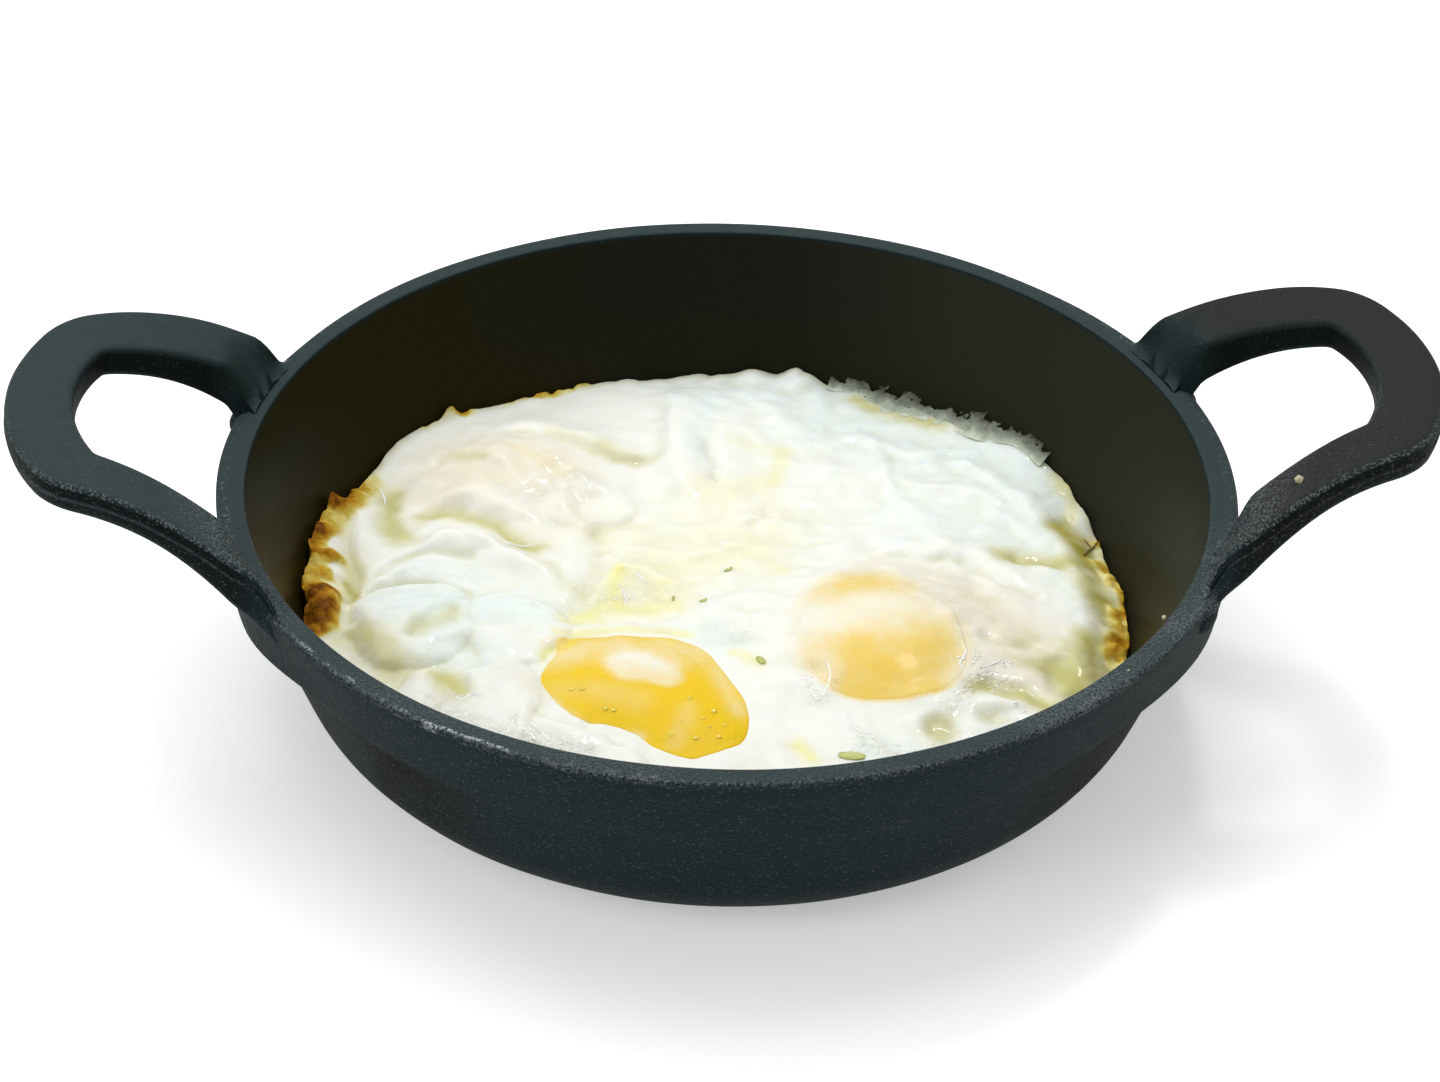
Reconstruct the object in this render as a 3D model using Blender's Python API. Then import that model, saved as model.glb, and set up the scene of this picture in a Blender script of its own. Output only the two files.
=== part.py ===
"""Three fried eggs in the small cast-iron pan they are served in.

Metres, +Z up. The origin is the middle of the pan's flat base, and the two handles lie along X.
The pan is one casting. The egg white is one mass, with the three yolks set in pockets of it.
"""
import math

import bmesh
import bpy
from mathutils import Matrix, Vector

# Pan body, a turned bowl with a drafted wall
RIM_RADIUS = 0.0900
PAN_HEIGHT = 0.0438
WALL_DRAFT = math.radians(20)
BASE_EDGE_RADIUS = 0.0190
RIM_WIDTH = 0.0041
RIM_ROUNDING = 0.0009
RIM_CORNER_SHARE = 0.3
FLOOR_THICKNESS = 0.0045
HOLLOW_EDGE_RADIUS = 0.0150
BODY_SEGMENTS = 72
ARC_STEPS = 7

# Loop handles, cast in one with the body
HANDLE_REACH = 0.1265
HANDLE_WIDTH = 0.0120
TIP_ARC_RADIUS = 0.0380
TIP_ARC_TURN = math.radians(29.5)
CORNER_RADIUS = 0.0082
CORNER_TURN = math.radians(40)
ARM_END_X = 0.0740
TIP_STEPS = 5
CORNER_STEPS = 4
ARM_STEPS = 9
HANDLE_THICKNESS = 0.0061
HANDLE_EDGE = 0.0014
CREST_RISE = 0.0203
CREST_DISTANCE = 0.1186
RISE_RUN = 0.0387
RISE_SKEW = 0.12
ROOT_THICKENING = 0.0092
ROOT_THICKENING_POWER = 3

# Root pads, the slabs that carry the handle arms' load round the wall
PAD_TOP_RADIUS = 0.0896
PAD_FOOT_RADIUS = 0.0880
PAD_TOP = 0.0006
PAD_DROP = 0.0155
PAD_BURIED = 0.0020
PAD_FADED = 0.0001
PAD_FULL_ANGLE = math.radians(14)
PAD_END_ANGLE = math.radians(34)
PAD_STEPS = 24

# Webs that fill the corner between each arm's inner side and the wall, ending just below the rim
WEB_REACH = 0.0030
WEB_FOOT_REACH = 0.0010
WEB_BURIED = 0.0020
WEB_TOP = 0.0007
WEB_DROP = 0.0058
WEB_SLOPE = 0.55
WEB_STEPS = 5

# Egg white, lying on the pan's floor and up to its wall
EGG_GAP = 0.0003
WHITE_LEVEL = 0.0168
WHITE_EDGE_LEVEL = 0.0190
WHITE_EDGE_BAND = 0.0100
WHITE_SEGMENTS = 60
WHITE_RINGS = 14
WHITE_FLOOR_RINGS = 7
WHITE_RING_CROWDING = 1.3
WHITE_EDGE_DEPTH = 0.0004
WHITE_FOOT_SHARE = 0.992
EDGE_WAVES = (
    (1, 0.0012, 3.1),
    (3, 0.0004, 0.4),
    (5, 0.0004, 2.1),
    (9, 0.0003, 1.0),
    (14, 0.0003, 0.3),
)
RIPPLES = ((95, 40, 0.0005), (-50, 110, 0.0005), (150, -120, 0.0003))

# Soft humps of the white: centre x, centre y, radius, height
WHITE_HUMPS = {
    "left_front_lobe": (-0.051, -0.014, 0.0165, 0.0052),
    "left_back_bump": (-0.056, 0.031, 0.0110, 0.0034),
    "back_left_yolk_hump": (-0.034, 0.046, 0.0190, 0.0040),
    "left_ridge": (-0.034, 0.029, 0.0095, 0.0018),
    "back_billow": (-0.003, 0.053, 0.0120, 0.0044),
    "back_right_swell": (0.033, 0.043, 0.0230, 0.0030),
    "right_swell": (0.052, 0.012, 0.0150, 0.0028),
    "right_yolk_hump": (0.027, -0.014, 0.0190, 0.0044),
    "front_yolk_collar": (-0.016, -0.031, 0.0200, 0.0020),
    "front_right_swell": (0.045, -0.038, 0.0140, 0.0012),
}

# Yolks: centre x, centre y, half width, half depth, long axis
YOLKS = {
    "yolk_front": (-0.0165, -0.0308, 0.0178, 0.0172, math.radians(-38)),
    "yolk_right": (0.0268, -0.0138, 0.0168, 0.0170, math.radians(20)),
    "yolk_back_left": (-0.0335, 0.0465, 0.0158, 0.0150, math.radians(10)),
}
YOLK_CENTRE_HEIGHT = 0.0165
YOLK_DOME = 0.0078
YOLK_BELLY = 0.0086
YOLK_SEGMENTS = 24
YOLK_RINGS = 10

TAN_DRAFT = math.tan(WALL_DRAFT)
COS_DRAFT = math.cos(WALL_DRAFT)
SIN_DRAFT = math.sin(WALL_DRAFT)


def clear_scene():
    """Remove the objects that a new scene starts with."""
    for obj in list(bpy.data.objects):
        bpy.data.objects.remove(obj, do_unlink=True)


def make_material(name, colour, roughness, metallic):
    """Return a Principled material."""
    material = bpy.data.materials.new(name)
    material.use_nodes = True
    shader = material.node_tree.nodes["Principled BSDF"]
    shader.inputs["Base Color"].default_value = (*colour, 1.0)
    shader.inputs["Roughness"].default_value = roughness
    shader.inputs["Metallic"].default_value = metallic
    return material


def add_object(name, bm, material=None):
    """Turn a bmesh into a smooth-shaded object and free it."""
    mesh = bpy.data.meshes.new(name)
    bm.to_mesh(mesh)
    bm.free()
    mesh.shade_smooth()
    mesh.set_sharp_from_angle(angle=math.radians(40))
    if material:
        mesh.materials.append(material)
    obj = bpy.data.objects.new(name, mesh)
    bpy.context.scene.collection.objects.link(obj)
    return obj


def add_boolean(obj, operand, operation):
    """Add an exact Boolean whose operand is hidden and drawn as wire."""
    modifier = obj.modifiers.new(operand.name, "BOOLEAN")
    modifier.operation = operation
    modifier.solver = "EXACT"
    modifier.object = operand
    operand.hide_render = True
    operand.display_type = "WIRE"


def smooth_step(value):
    """Ease from 0 to 1 as the value does."""
    value = min(max(value, 0.0), 1.0)
    return value * value * (3.0 - 2.0 * value)


def turned(profile, segments):
    """Spin a profile of (radius, height) points, which starts and ends on the axis, into a solid."""
    bm = bmesh.new()
    points = [bm.verts.new((radius, 0.0, height)) for radius, height in profile]
    edges = [bm.edges.new(pair) for pair in zip(points, points[1:])]
    bmesh.ops.spin(
        bm,
        geom=points + edges,
        axis=(0, 0, 1),
        cent=(0, 0, 0),
        angle=math.tau,
        steps=segments,
        use_merge=True,
    )
    bmesh.ops.remove_doubles(bm, verts=bm.verts, dist=1e-6)
    bmesh.ops.recalc_face_normals(bm, faces=bm.faces)
    return bm


def bowl_curve(top_radius, top_height, floor_height, edge_radius):
    """Return a drafted wall from its top down, and the rounded edge that takes it to the floor."""
    drop = top_height - floor_height - edge_radius * (1.0 - SIN_DRAFT)
    centre = top_radius - drop * TAN_DRAFT - edge_radius * COS_DRAFT
    curve = [(top_radius, top_height)]
    for step in range(ARC_STEPS + 1):
        angle = WALL_DRAFT + (math.pi / 2 - WALL_DRAFT) * step / ARC_STEPS
        radius = centre + edge_radius * math.cos(angle)
        height = floor_height + edge_radius * (1.0 - math.sin(angle))
        curve.append((radius, height))
    return curve


def bowl_height(radius, top_radius, floor_height, edge_radius):
    """Return the height of a bowl's surface at a radius."""
    drop = PAN_HEIGHT - floor_height - edge_radius * (1.0 - SIN_DRAFT)
    centre = top_radius - drop * TAN_DRAFT - edge_radius * COS_DRAFT
    if radius <= centre:
        return floor_height
    if radius < centre + edge_radius * COS_DRAFT:
        return floor_height + edge_radius - math.sqrt(edge_radius**2 - (radius - centre) ** 2)
    return PAN_HEIGHT - (top_radius - radius) / TAN_DRAFT


def pan_block():
    """Return the pan's outer form as a full solid, before it is hollowed."""
    wall = bowl_curve(RIM_RADIUS, PAN_HEIGHT, 0.0, BASE_EDGE_RADIUS)
    rim_side = (
        RIM_RADIUS - RIM_ROUNDING * TAN_DRAFT,
        PAN_HEIGHT - RIM_ROUNDING,
    )
    rim_top = (RIM_RADIUS - RIM_ROUNDING, PAN_HEIGHT)
    eased = RIM_CORNER_SHARE * RIM_ROUNDING
    rim_corner = (RIM_RADIUS - eased, PAN_HEIGHT - eased)
    profile = [(0.0, PAN_HEIGHT), rim_top, rim_corner, rim_side] + wall[1:] + [(0.0, 0.0)]
    return turned(profile, BODY_SEGMENTS)


def pan_hollow():
    """Return the space inside the pan, which runs on above its rim."""
    top_radius = RIM_RADIUS - RIM_WIDTH
    wall = bowl_curve(top_radius, PAN_HEIGHT, FLOOR_THICKNESS, HOLLOW_EDGE_RADIUS)
    clearance_top = PAN_HEIGHT + 2 * CREST_RISE
    profile = [(0.0, clearance_top), (top_radius, clearance_top)] + wall + [(0.0, FLOOR_THICKNESS)]
    return turned(profile, BODY_SEGMENTS)


def handle_distance(x, y):
    """Return how far out along the handle a point lies; the level lines lean round the wall."""
    return x + RISE_SKEW * abs(y)


def handle_top(x, y):
    """Return the height of the handle's top face, which climbs from the rim and levels out."""
    shortfall = max(0.0, CREST_DISTANCE - handle_distance(x, y)) / RISE_RUN
    return PAN_HEIGHT + CREST_RISE * (1.0 - shortfall**2)


def handle_thickness(x, y):
    """Return the handle's upright thickness, which grows into a gusset at the wall."""
    shortfall = max(0.0, CREST_DISTANCE - handle_distance(x, y)) / RISE_RUN
    return HANDLE_THICKNESS + ROOT_THICKENING * shortfall**ROOT_THICKENING_POWER


def half_path():
    """Return (point, heading) stations from the handle's tip to the end of one arm."""
    stations = []
    point = Vector((HANDLE_REACH - HANDLE_WIDTH / 2, 0.0))
    heading = math.pi / 2
    tip_arc = (TIP_ARC_RADIUS, TIP_ARC_TURN, TIP_STEPS)
    corner_arc = (CORNER_RADIUS, CORNER_TURN, CORNER_STEPS)
    for radius, turn, steps in (tip_arc, corner_arc):
        centre = point + radius * Vector((-math.sin(heading), math.cos(heading)))
        for step in range(steps):
            angle = heading + turn * step / steps
            place = centre + radius * Vector((math.sin(angle), -math.cos(angle)))
            stations.append((place, angle))
        heading += turn
        point = centre + radius * Vector((math.sin(heading), -math.cos(heading)))
    direction = Vector((math.cos(heading), math.sin(heading)))
    arm_length = (ARM_END_X - point.x) / direction.x
    for step in range(ARM_STEPS + 1):
        stations.append((point + direction * (arm_length * step / ARM_STEPS), heading))
    return stations


def handle_ring(place, heading):
    """Return the eight corners of the handle's section at a station, edges eased."""
    across = Vector((math.sin(heading), -math.cos(heading)))
    half = HANDLE_WIDTH / 2
    layout = (
        (-half, 0, HANDLE_EDGE),
        (-half + HANDLE_EDGE, 0, 0),
        (half - HANDLE_EDGE, 0, 0),
        (half, 0, HANDLE_EDGE),
        (half, 1, -HANDLE_EDGE),
        (half - HANDLE_EDGE, 1, 0),
        (-half + HANDLE_EDGE, 1, 0),
        (-half, 1, -HANDLE_EDGE),
    )
    ring = []
    for offset, under, drop in layout:
        spot = place + across * offset
        height = handle_top(spot.x, spot.y) - under * handle_thickness(spot.x, spot.y) - drop
        ring.append(Vector((spot.x, spot.y, height)))
    return ring


def loft(rings):
    """Bridge a row of closed rings into one capped solid."""
    bm = bmesh.new()
    loops = []
    for ring in rings:
        points = [bm.verts.new(point) for point in ring]
        loops.append([bm.edges.new((a, b)) for a, b in zip(points, points[1:] + points[:1])])
    for one, other in zip(loops, loops[1:]):
        bmesh.ops.bridge_loops(bm, edges=one + other)
    bmesh.ops.contextual_create(bm, geom=loops[0])
    bmesh.ops.contextual_create(bm, geom=loops[-1])
    bmesh.ops.recalc_face_normals(bm, faces=bm.faces)
    return bm


def handle_loop(side):
    """Return one handle as a swept band; side is 1 at +X and -1 at -X."""
    half = half_path()
    mirrored = [(Vector((place.x, -place.y)), math.pi - heading) for place, heading in half[1:]]
    path = mirrored[::-1] + half
    rings = [handle_ring(*station) for station in path]
    bm = loft(rings)
    if side < 0:
        bmesh.ops.rotate(bm, verts=bm.verts, matrix=Matrix.Rotation(math.pi, 3, "Z"), cent=(0, 0, 0))
    return bm


def root_pad(side):
    """Return the slab round a handle's roots, which stands upright and fades into the drafted wall."""
    rings = []
    top = (PAN_HEIGHT - PAD_TOP, PAD_TOP_RADIUS)
    foot = (PAN_HEIGHT - PAD_DROP, PAD_FOOT_RADIUS)
    for step in range(PAD_STEPS + 1):
        angle = PAD_END_ANGLE * (2 * step / PAD_STEPS - 1)
        span = (abs(angle) - PAD_FULL_ANGLE) / (PAD_END_ANGLE - PAD_FULL_ANGLE)
        proud = 1.0 - smooth_step(span)
        ring = []
        for (height, face), outside in ((top, True), (foot, True), (foot, False), (top, False)):
            wall = RIM_RADIUS - (PAN_HEIGHT - height) * TAN_DRAFT
            radius = wall - PAD_BURIED
            if outside:
                radius = wall - PAD_FADED + proud * (face - wall)
            ring.append((radius * math.cos(angle), radius * math.sin(angle), height))
        rings.append(ring)
    bm = loft(rings)
    if side < 0:
        bmesh.ops.rotate(bm, verts=bm.verts, matrix=Matrix.Rotation(math.pi, 3, "Z"), cent=(0, 0, 0))
    return bm


def web_outline(reach):
    """Return a web's plan in the inner corner of the arm at +X and +Y; its free side is hollow."""
    arm_end, heading = half_path()[-1]
    outward = Vector((-math.cos(heading), -math.sin(heading)))
    sideways = Vector((outward.y, -outward.x))
    start = arm_end + sideways * (HANDLE_WIDTH / 2)
    along = -start.dot(outward)
    corner = start + outward * (along + math.sqrt(along**2 - start.length_squared + PAD_TOP_RADIUS**2))
    arm_foot = corner + outward * reach
    wall_foot = corner + Vector((corner.y, -corner.x)).normalized() * reach
    outline = [arm_foot - sideways * WEB_BURIED]
    for step in range(WEB_STEPS + 1):
        share = step / WEB_STEPS
        outline.append(arm_foot.lerp(corner, share).lerp(corner.lerp(wall_foot, share), share))
    outline.append(wall_foot - wall_foot.normalized() * WEB_BURIED)
    outline.append(corner - (corner.normalized() + sideways) * WEB_BURIED)
    return outline


def root_web(side, flank):
    """Return one web; side is 1 at +X and flank is 1 at +Y."""
    rings = []
    for drop, reach in ((WEB_TOP, WEB_REACH), (WEB_DROP, WEB_FOOT_REACH)):
        ring = []
        for spot in web_outline(reach):
            height = PAN_HEIGHT - drop + WEB_SLOPE * (spot.length - PAD_TOP_RADIUS)
            ring.append((side * spot.x, flank * spot.y, height))
        rings.append(ring)
    return loft(rings)


def make_pan():
    """Join the block, the handles and their root pads, and hollow the whole."""
    iron = make_material("cast_iron", (0.016, 0.020, 0.021), 0.55, 0.6)
    pan = add_object("pan", pan_block(), iron)
    for side, word in ((1, "right"), (-1, "left")):
        add_boolean(pan, add_object("root_pad_" + word, root_pad(side)), "UNION")
        add_boolean(pan, add_object("handle_loop_" + word, handle_loop(side)), "UNION")
        for flank, name in ((1, "back"), (-1, "front")):
            web = add_object(f"root_web_{word}_{name}", root_web(side, flank))
            add_boolean(pan, web, "UNION")
    add_boolean(pan, add_object("pan_hollow", pan_hollow()), "DIFFERENCE")
    return pan


def hollow_height(radius):
    """Return the height of the pan's inner surface at a radius."""
    return bowl_height(radius, RIM_RADIUS - RIM_WIDTH, FLOOR_THICKNESS, HOLLOW_EDGE_RADIUS)


def white_reach(angle):
    """Return the white's outline radius, an uneven ring just inside the pan's wall."""
    limit = RIM_RADIUS - RIM_WIDTH - (PAN_HEIGHT - WHITE_EDGE_LEVEL) * TAN_DRAFT - 2 * EGG_GAP
    waves = sum(size * (math.cos(count * angle + phase) - 1.0) for count, size, phase in EDGE_WAVES)
    return limit + waves


def white_top(x, y):
    """Return the height of the white's top: level, humped over its lobes and faintly rippled."""
    height = WHITE_LEVEL
    for centre_x, centre_y, radius, rise in WHITE_HUMPS.values():
        spread = ((x - centre_x) ** 2 + (y - centre_y) ** 2) / radius**2
        height += rise * math.exp(-spread)
    for along_x, along_y, rise in RIPPLES:
        height += rise * math.sin(along_x * x + along_y * y)
    edge = white_reach(math.atan2(y, x)) - math.hypot(x, y)
    inner_share = smooth_step(edge / WHITE_EDGE_BAND)
    return WHITE_EDGE_LEVEL + (height - WHITE_EDGE_LEVEL) * inner_share


def make_white():
    """Spin a flat lens, then shape its outline, its top and the underside that lies in the pan."""
    floor_layer, edge_layer, top_layer = 0, 1, 2
    profile = [(0.0, top_layer)]
    for step in range(1, WHITE_RINGS):
        profile.append((1.0 - (1.0 - step / WHITE_RINGS) ** WHITE_RING_CROWDING, top_layer))
    profile += [(1.0, edge_layer), (WHITE_FOOT_SHARE, floor_layer)]
    for step in range(1, WHITE_FLOOR_RINGS + 1):
        profile.append((1.0 - step / WHITE_FLOOR_RINGS, floor_layer))
    bm = turned(profile, WHITE_SEGMENTS)
    for point in bm.verts:
        angle = math.atan2(point.co.y, point.co.x)
        radius = math.hypot(point.co.x, point.co.y) * white_reach(angle)
        layer = round(point.co.z)
        point.co.x = radius * math.cos(angle)
        point.co.y = radius * math.sin(angle)
        under = hollow_height(radius) + EGG_GAP / COS_DRAFT
        if layer == top_layer:
            point.co.z = white_top(point.co.x, point.co.y)
        elif layer == edge_layer:
            point.co.z = max(under, WHITE_EDGE_LEVEL - WHITE_EDGE_DEPTH)
        else:
            point.co.z = under
    bmesh.ops.recalc_face_normals(bm, faces=bm.faces)
    colour = make_material("egg_white", (0.86, 0.86, 0.78), 0.35, 0.0)
    return add_object("egg_white", bm, colour)


def yolk_solid(centre_x, centre_y, half_width, half_depth, turn, swell):
    """Return a yolk: a flattened ball, domed above and slack below, grown all round by swell."""
    bm = bmesh.new()
    bmesh.ops.create_uvsphere(bm, u_segments=YOLK_SEGMENTS, v_segments=YOLK_RINGS, radius=1.0)
    for point in bm.verts:
        rise = YOLK_DOME if point.co.z > 0 else YOLK_BELLY
        point.co.x *= half_width + swell
        point.co.y *= half_depth + swell
        point.co.z *= rise + swell
    bmesh.ops.rotate(bm, verts=bm.verts, matrix=Matrix.Rotation(turn, 3, "Z"), cent=(0, 0, 0))
    bmesh.ops.translate(bm, verts=bm.verts, vec=(centre_x, centre_y, YOLK_CENTRE_HEIGHT))
    return bm


def make_eggs():
    """Set each yolk in its own pocket of the one joined white."""
    white = make_white()
    colour = make_material("yolk", (0.90, 0.58, 0.09), 0.3, 0.0)
    for name, size in YOLKS.items():
        add_object(name, yolk_solid(*size, swell=0.0), colour)
        pocket = add_object(name + "_pocket", yolk_solid(*size, swell=EGG_GAP))
        add_boolean(white, pocket, "DIFFERENCE")


clear_scene()
make_pan()
make_eggs()
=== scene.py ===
"""Fried eggs in the small cast-iron pan they are served in: the finishes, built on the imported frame."""
import math

import bmesh
import bpy
import numpy as np
from mathutils import Matrix, Vector, noise


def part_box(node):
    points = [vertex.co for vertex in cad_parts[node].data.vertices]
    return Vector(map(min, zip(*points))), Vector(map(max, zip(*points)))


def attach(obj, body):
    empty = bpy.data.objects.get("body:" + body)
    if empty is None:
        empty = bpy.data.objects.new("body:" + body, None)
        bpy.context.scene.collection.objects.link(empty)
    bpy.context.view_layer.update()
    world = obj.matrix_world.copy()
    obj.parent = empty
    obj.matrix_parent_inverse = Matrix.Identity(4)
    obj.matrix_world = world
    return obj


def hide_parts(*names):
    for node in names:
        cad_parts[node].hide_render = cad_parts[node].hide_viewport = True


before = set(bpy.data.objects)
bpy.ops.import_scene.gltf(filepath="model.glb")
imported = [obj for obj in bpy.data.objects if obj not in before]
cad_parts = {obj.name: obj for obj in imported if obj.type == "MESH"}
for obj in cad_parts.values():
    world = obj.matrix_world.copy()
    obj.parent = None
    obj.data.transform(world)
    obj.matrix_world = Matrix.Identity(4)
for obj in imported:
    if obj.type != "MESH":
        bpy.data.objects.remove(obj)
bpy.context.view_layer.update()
scene = bpy.context.scene


# The table top: a plain off-white board that the pan stands on. It is only a stage, lit a little
# from within so that the pan's shadow on it stays pale.
TABLE_COLOUR = (0.86, 0.86, 0.86)
TABLE_GLOW = 0.45
TABLE_ROUGHNESS = 0.7
TABLE_SIZE = 4.0


class Wire:
    """A node socket. Arithmetic on wires adds the Math nodes that work it out."""

    def __init__(self, tree, socket):
        self.tree = tree
        self.socket = socket

    def sum_node(self, operation, *values, clamp=False):
        node = self.tree.nodes.new("ShaderNodeMath")
        node.operation = operation
        node.use_clamp = clamp
        for place, value in zip(node.inputs, values):
            plug(self.tree, place, value)
        return Wire(self.tree, node.outputs[0])

    def __add__(self, other):
        return self.sum_node("ADD", self, other)

    def __radd__(self, other):
        return self.sum_node("ADD", other, self)

    def __sub__(self, other):
        return self.sum_node("SUBTRACT", self, other)

    def __rsub__(self, other):
        return self.sum_node("SUBTRACT", other, self)

    def __mul__(self, other):
        return self.sum_node("MULTIPLY", self, other)

    def __rmul__(self, other):
        return self.sum_node("MULTIPLY", other, self)

    def __pow__(self, other):
        return self.sum_node("POWER", self, other)

    def __abs__(self):
        return self.sum_node("ABSOLUTE", self)

    def clamped(self):
        return self.sum_node("ADD", self, 0.0, clamp=True)


def plug(tree, place, value):
    """Link a wire to a socket, or set the socket's own value."""
    if isinstance(value, Wire):
        tree.links.new(value.socket, place)
    elif isinstance(value, tuple) and len(value) == 3 and place.type == "RGBA":
        place.default_value = (*value, 1.0)
    else:
        place.default_value = value


class Finish:
    """A material under construction, with its Principled shader ready to be fed."""

    def __init__(self, name):
        self.material = bpy.data.materials.new(name)
        self.material.use_nodes = True
        self.tree = self.material.node_tree
        self.shader = self.tree.nodes["Principled BSDF"]

    def node(self, kind, settings=None, sockets=None, output=0):
        """Add a node, set its settings and then its sockets, and return one of its outputs."""
        node = self.tree.nodes.new(kind)
        for name, value in (settings or {}).items():
            if name == "stops":
                self.set_stops(node.color_ramp, value)
            else:
                setattr(node, name, value)
        for key, value in (sockets or {}).items():
            plug(self.tree, node.inputs[key], value)
        return Wire(self.tree, node.outputs[output])

    @staticmethod
    def set_stops(ramp, stops):
        while len(ramp.elements) < len(stops):
            ramp.elements.new(0.5)
        for element, (position, colour) in zip(ramp.elements, stops):
            element.position = position
            element.color = (*colour, 1.0)

    def place(self):
        return self.node("ShaderNodeTexCoord", output="Object")

    def axes(self, vector):
        """Return the three parts of a vector."""
        parts = self.node("ShaderNodeSeparateXYZ", {}, {"Vector": vector}).socket.node.outputs
        return [Wire(self.tree, part) for part in parts]

    def noise(self, scale, detail=2.0, roughness=0.5, distortion=0.0):
        """Return fractal noise from 0 to 1, with features about 1 / scale metres across."""
        sockets = {
            "Vector": self.place(),
            "Scale": scale,
            "Detail": detail,
            "Roughness": roughness,
            "Distortion": distortion,
        }
        return self.node("ShaderNodeTexNoise", {}, sockets)

    def attribute(self, name):
        return self.node("ShaderNodeAttribute", {"attribute_name": name}, output="Fac")

    def range(self, value, low, high):
        """Ease from 0 to 1 as a value goes from one limit to the other."""
        sockets = {"Value": value, "From Min": low, "From Max": high}
        return self.node("ShaderNodeMapRange", {"interpolation_type": "SMOOTHSTEP"}, sockets)

    def blend(self, share, one, other):
        """Mix two colours; share is 0 for the first and 1 for the second."""
        settings = {"data_type": "RGBA", "clamp_factor": True}
        return self.node("ShaderNodeMix", settings, {0: share, 6: one, 7: other}, output=2)

    def bump(self, height, distance, strength=1.0, normal=None):
        sockets = {"Height": height, "Distance": distance, "Strength": strength}
        if normal:
            sockets["Normal"] = normal
        return self.node("ShaderNodeBump", {}, sockets)

    def feed(self, **sockets):
        """Set or link the shader's sockets; an underscore stands for a space."""
        for name, value in sockets.items():
            plug(self.tree, self.shader.inputs[name.replace("_", " ")], value)

    def firm_up(self, share):
        """Mix in the same shader without its inner glow, wholly so where share is 1."""
        soft = Wire(self.tree, self.shader.outputs[0])
        firm = self.node("ShaderNodeBsdfPrincipled")
        for socket, twin in zip(self.shader.inputs, firm.socket.node.inputs):
            linked = socket.is_linked
            source = Wire(self.tree, socket.links[0].from_socket) if linked else socket.default_value
            plug(self.tree, twin, source)
        firm.socket.node.inputs["Subsurface Weight"].default_value = 0.0
        mix = self.node("ShaderNodeMixShader", {}, {0: share, 1: soft, 2: firm})
        plug(self.tree, self.tree.nodes["Material Output"].inputs["Surface"], mix)


def add_piece(name, bm, materials, crease=40):
    """Turn a bmesh into an object at the origin, smooth but for edges bent more than the crease."""
    mesh = bpy.data.meshes.new(name)
    bm.to_mesh(mesh)
    bm.free()
    mesh.shade_smooth()
    mesh.set_sharp_from_angle(angle=math.radians(crease))
    for material in materials:
        mesh.materials.append(material)
    piece = bpy.data.objects.new(name, mesh)
    scene.collection.objects.link(piece)
    return piece


table_finish = Finish("table_top")
table_finish.feed(
    Base_Color=TABLE_COLOUR,
    Roughness=TABLE_ROUGHNESS,
    Specular_IOR_Level=0.2,
    Emission_Color=TABLE_COLOUR,
    Emission_Strength=TABLE_GLOW,
)
table_mesh = bmesh.new()
bmesh.ops.create_grid(table_mesh, x_segments=1, y_segments=1, size=TABLE_SIZE / 2)
add_piece("table_top", table_mesh, [table_finish.material])


# The studio: a broad soft light overhead, a softer one from the front left, a small one that gives
# the wet egg its glints, and a pale room all round.
ROOM_LIGHT = 0.50
LAMPS = {
    # name: place, aim, width, power, colour
    "overhead": ((-0.20, 0.50, 1.30), (0.0, 0.0, 0.02), 1.20, 11.3, (1.0, 1.0, 1.0)),
    "front_left": ((-1.10, -0.70, 0.90), (0.0, 0.0, 0.02), 0.70, 4.2, (0.95, 0.98, 1.0)),
    "glint": ((0.22, 0.42, 0.85), (0.0, 0.0, 0.02), 0.10, 1.3, (1.0, 1.0, 1.0)),
}

for lamp_name, (lamp_place, lamp_aim, lamp_width, lamp_power, lamp_colour) in LAMPS.items():
    lamp_data = bpy.data.lights.new(lamp_name, "AREA")
    lamp_data.shape = "SQUARE"
    lamp_data.size = lamp_width
    lamp_data.energy = lamp_power
    lamp_data.color = lamp_colour
    lamp = bpy.data.objects.new(lamp_name, lamp_data)
    lamp.location = lamp_place
    lamp.rotation_euler = (Vector(lamp_aim) - Vector(lamp_place)).to_track_quat("-Z", "Y").to_euler()
    scene.collection.objects.link(lamp)

room = bpy.data.worlds.new("room")
room.use_nodes = True
room.node_tree.nodes["Background"].inputs["Color"].default_value = (1.0, 1.0, 1.0, 1.0)
room.node_tree.nodes["Background"].inputs["Strength"].default_value = ROOM_LIGHT
scene.world = room
scene.view_settings.view_transform = "Standard"


# The camera: a long lens that looks down into the pan from the front, turned a little off square.
# Its place is in metres and its turn in degrees.
CAMERA_PLACE = (-0.06053, -0.66507, 0.48641)
CAMERA_TURN = (55.635, -1.191, -4.289)
CAMERA_LENS = 112.69
SENSOR_WIDTH = 36.0

camera_data = bpy.data.cameras.new("camera")
camera_data.sensor_width = SENSOR_WIDTH
camera_data.lens = CAMERA_LENS
camera_data.clip_start = 0.01
camera_data.clip_end = 20.0
camera = bpy.data.objects.new("camera", camera_data)
camera.location = CAMERA_PLACE
camera.rotation_euler = [math.radians(turn) for turn in CAMERA_TURN]
scene.collection.objects.link(camera)
scene.camera = camera


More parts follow.
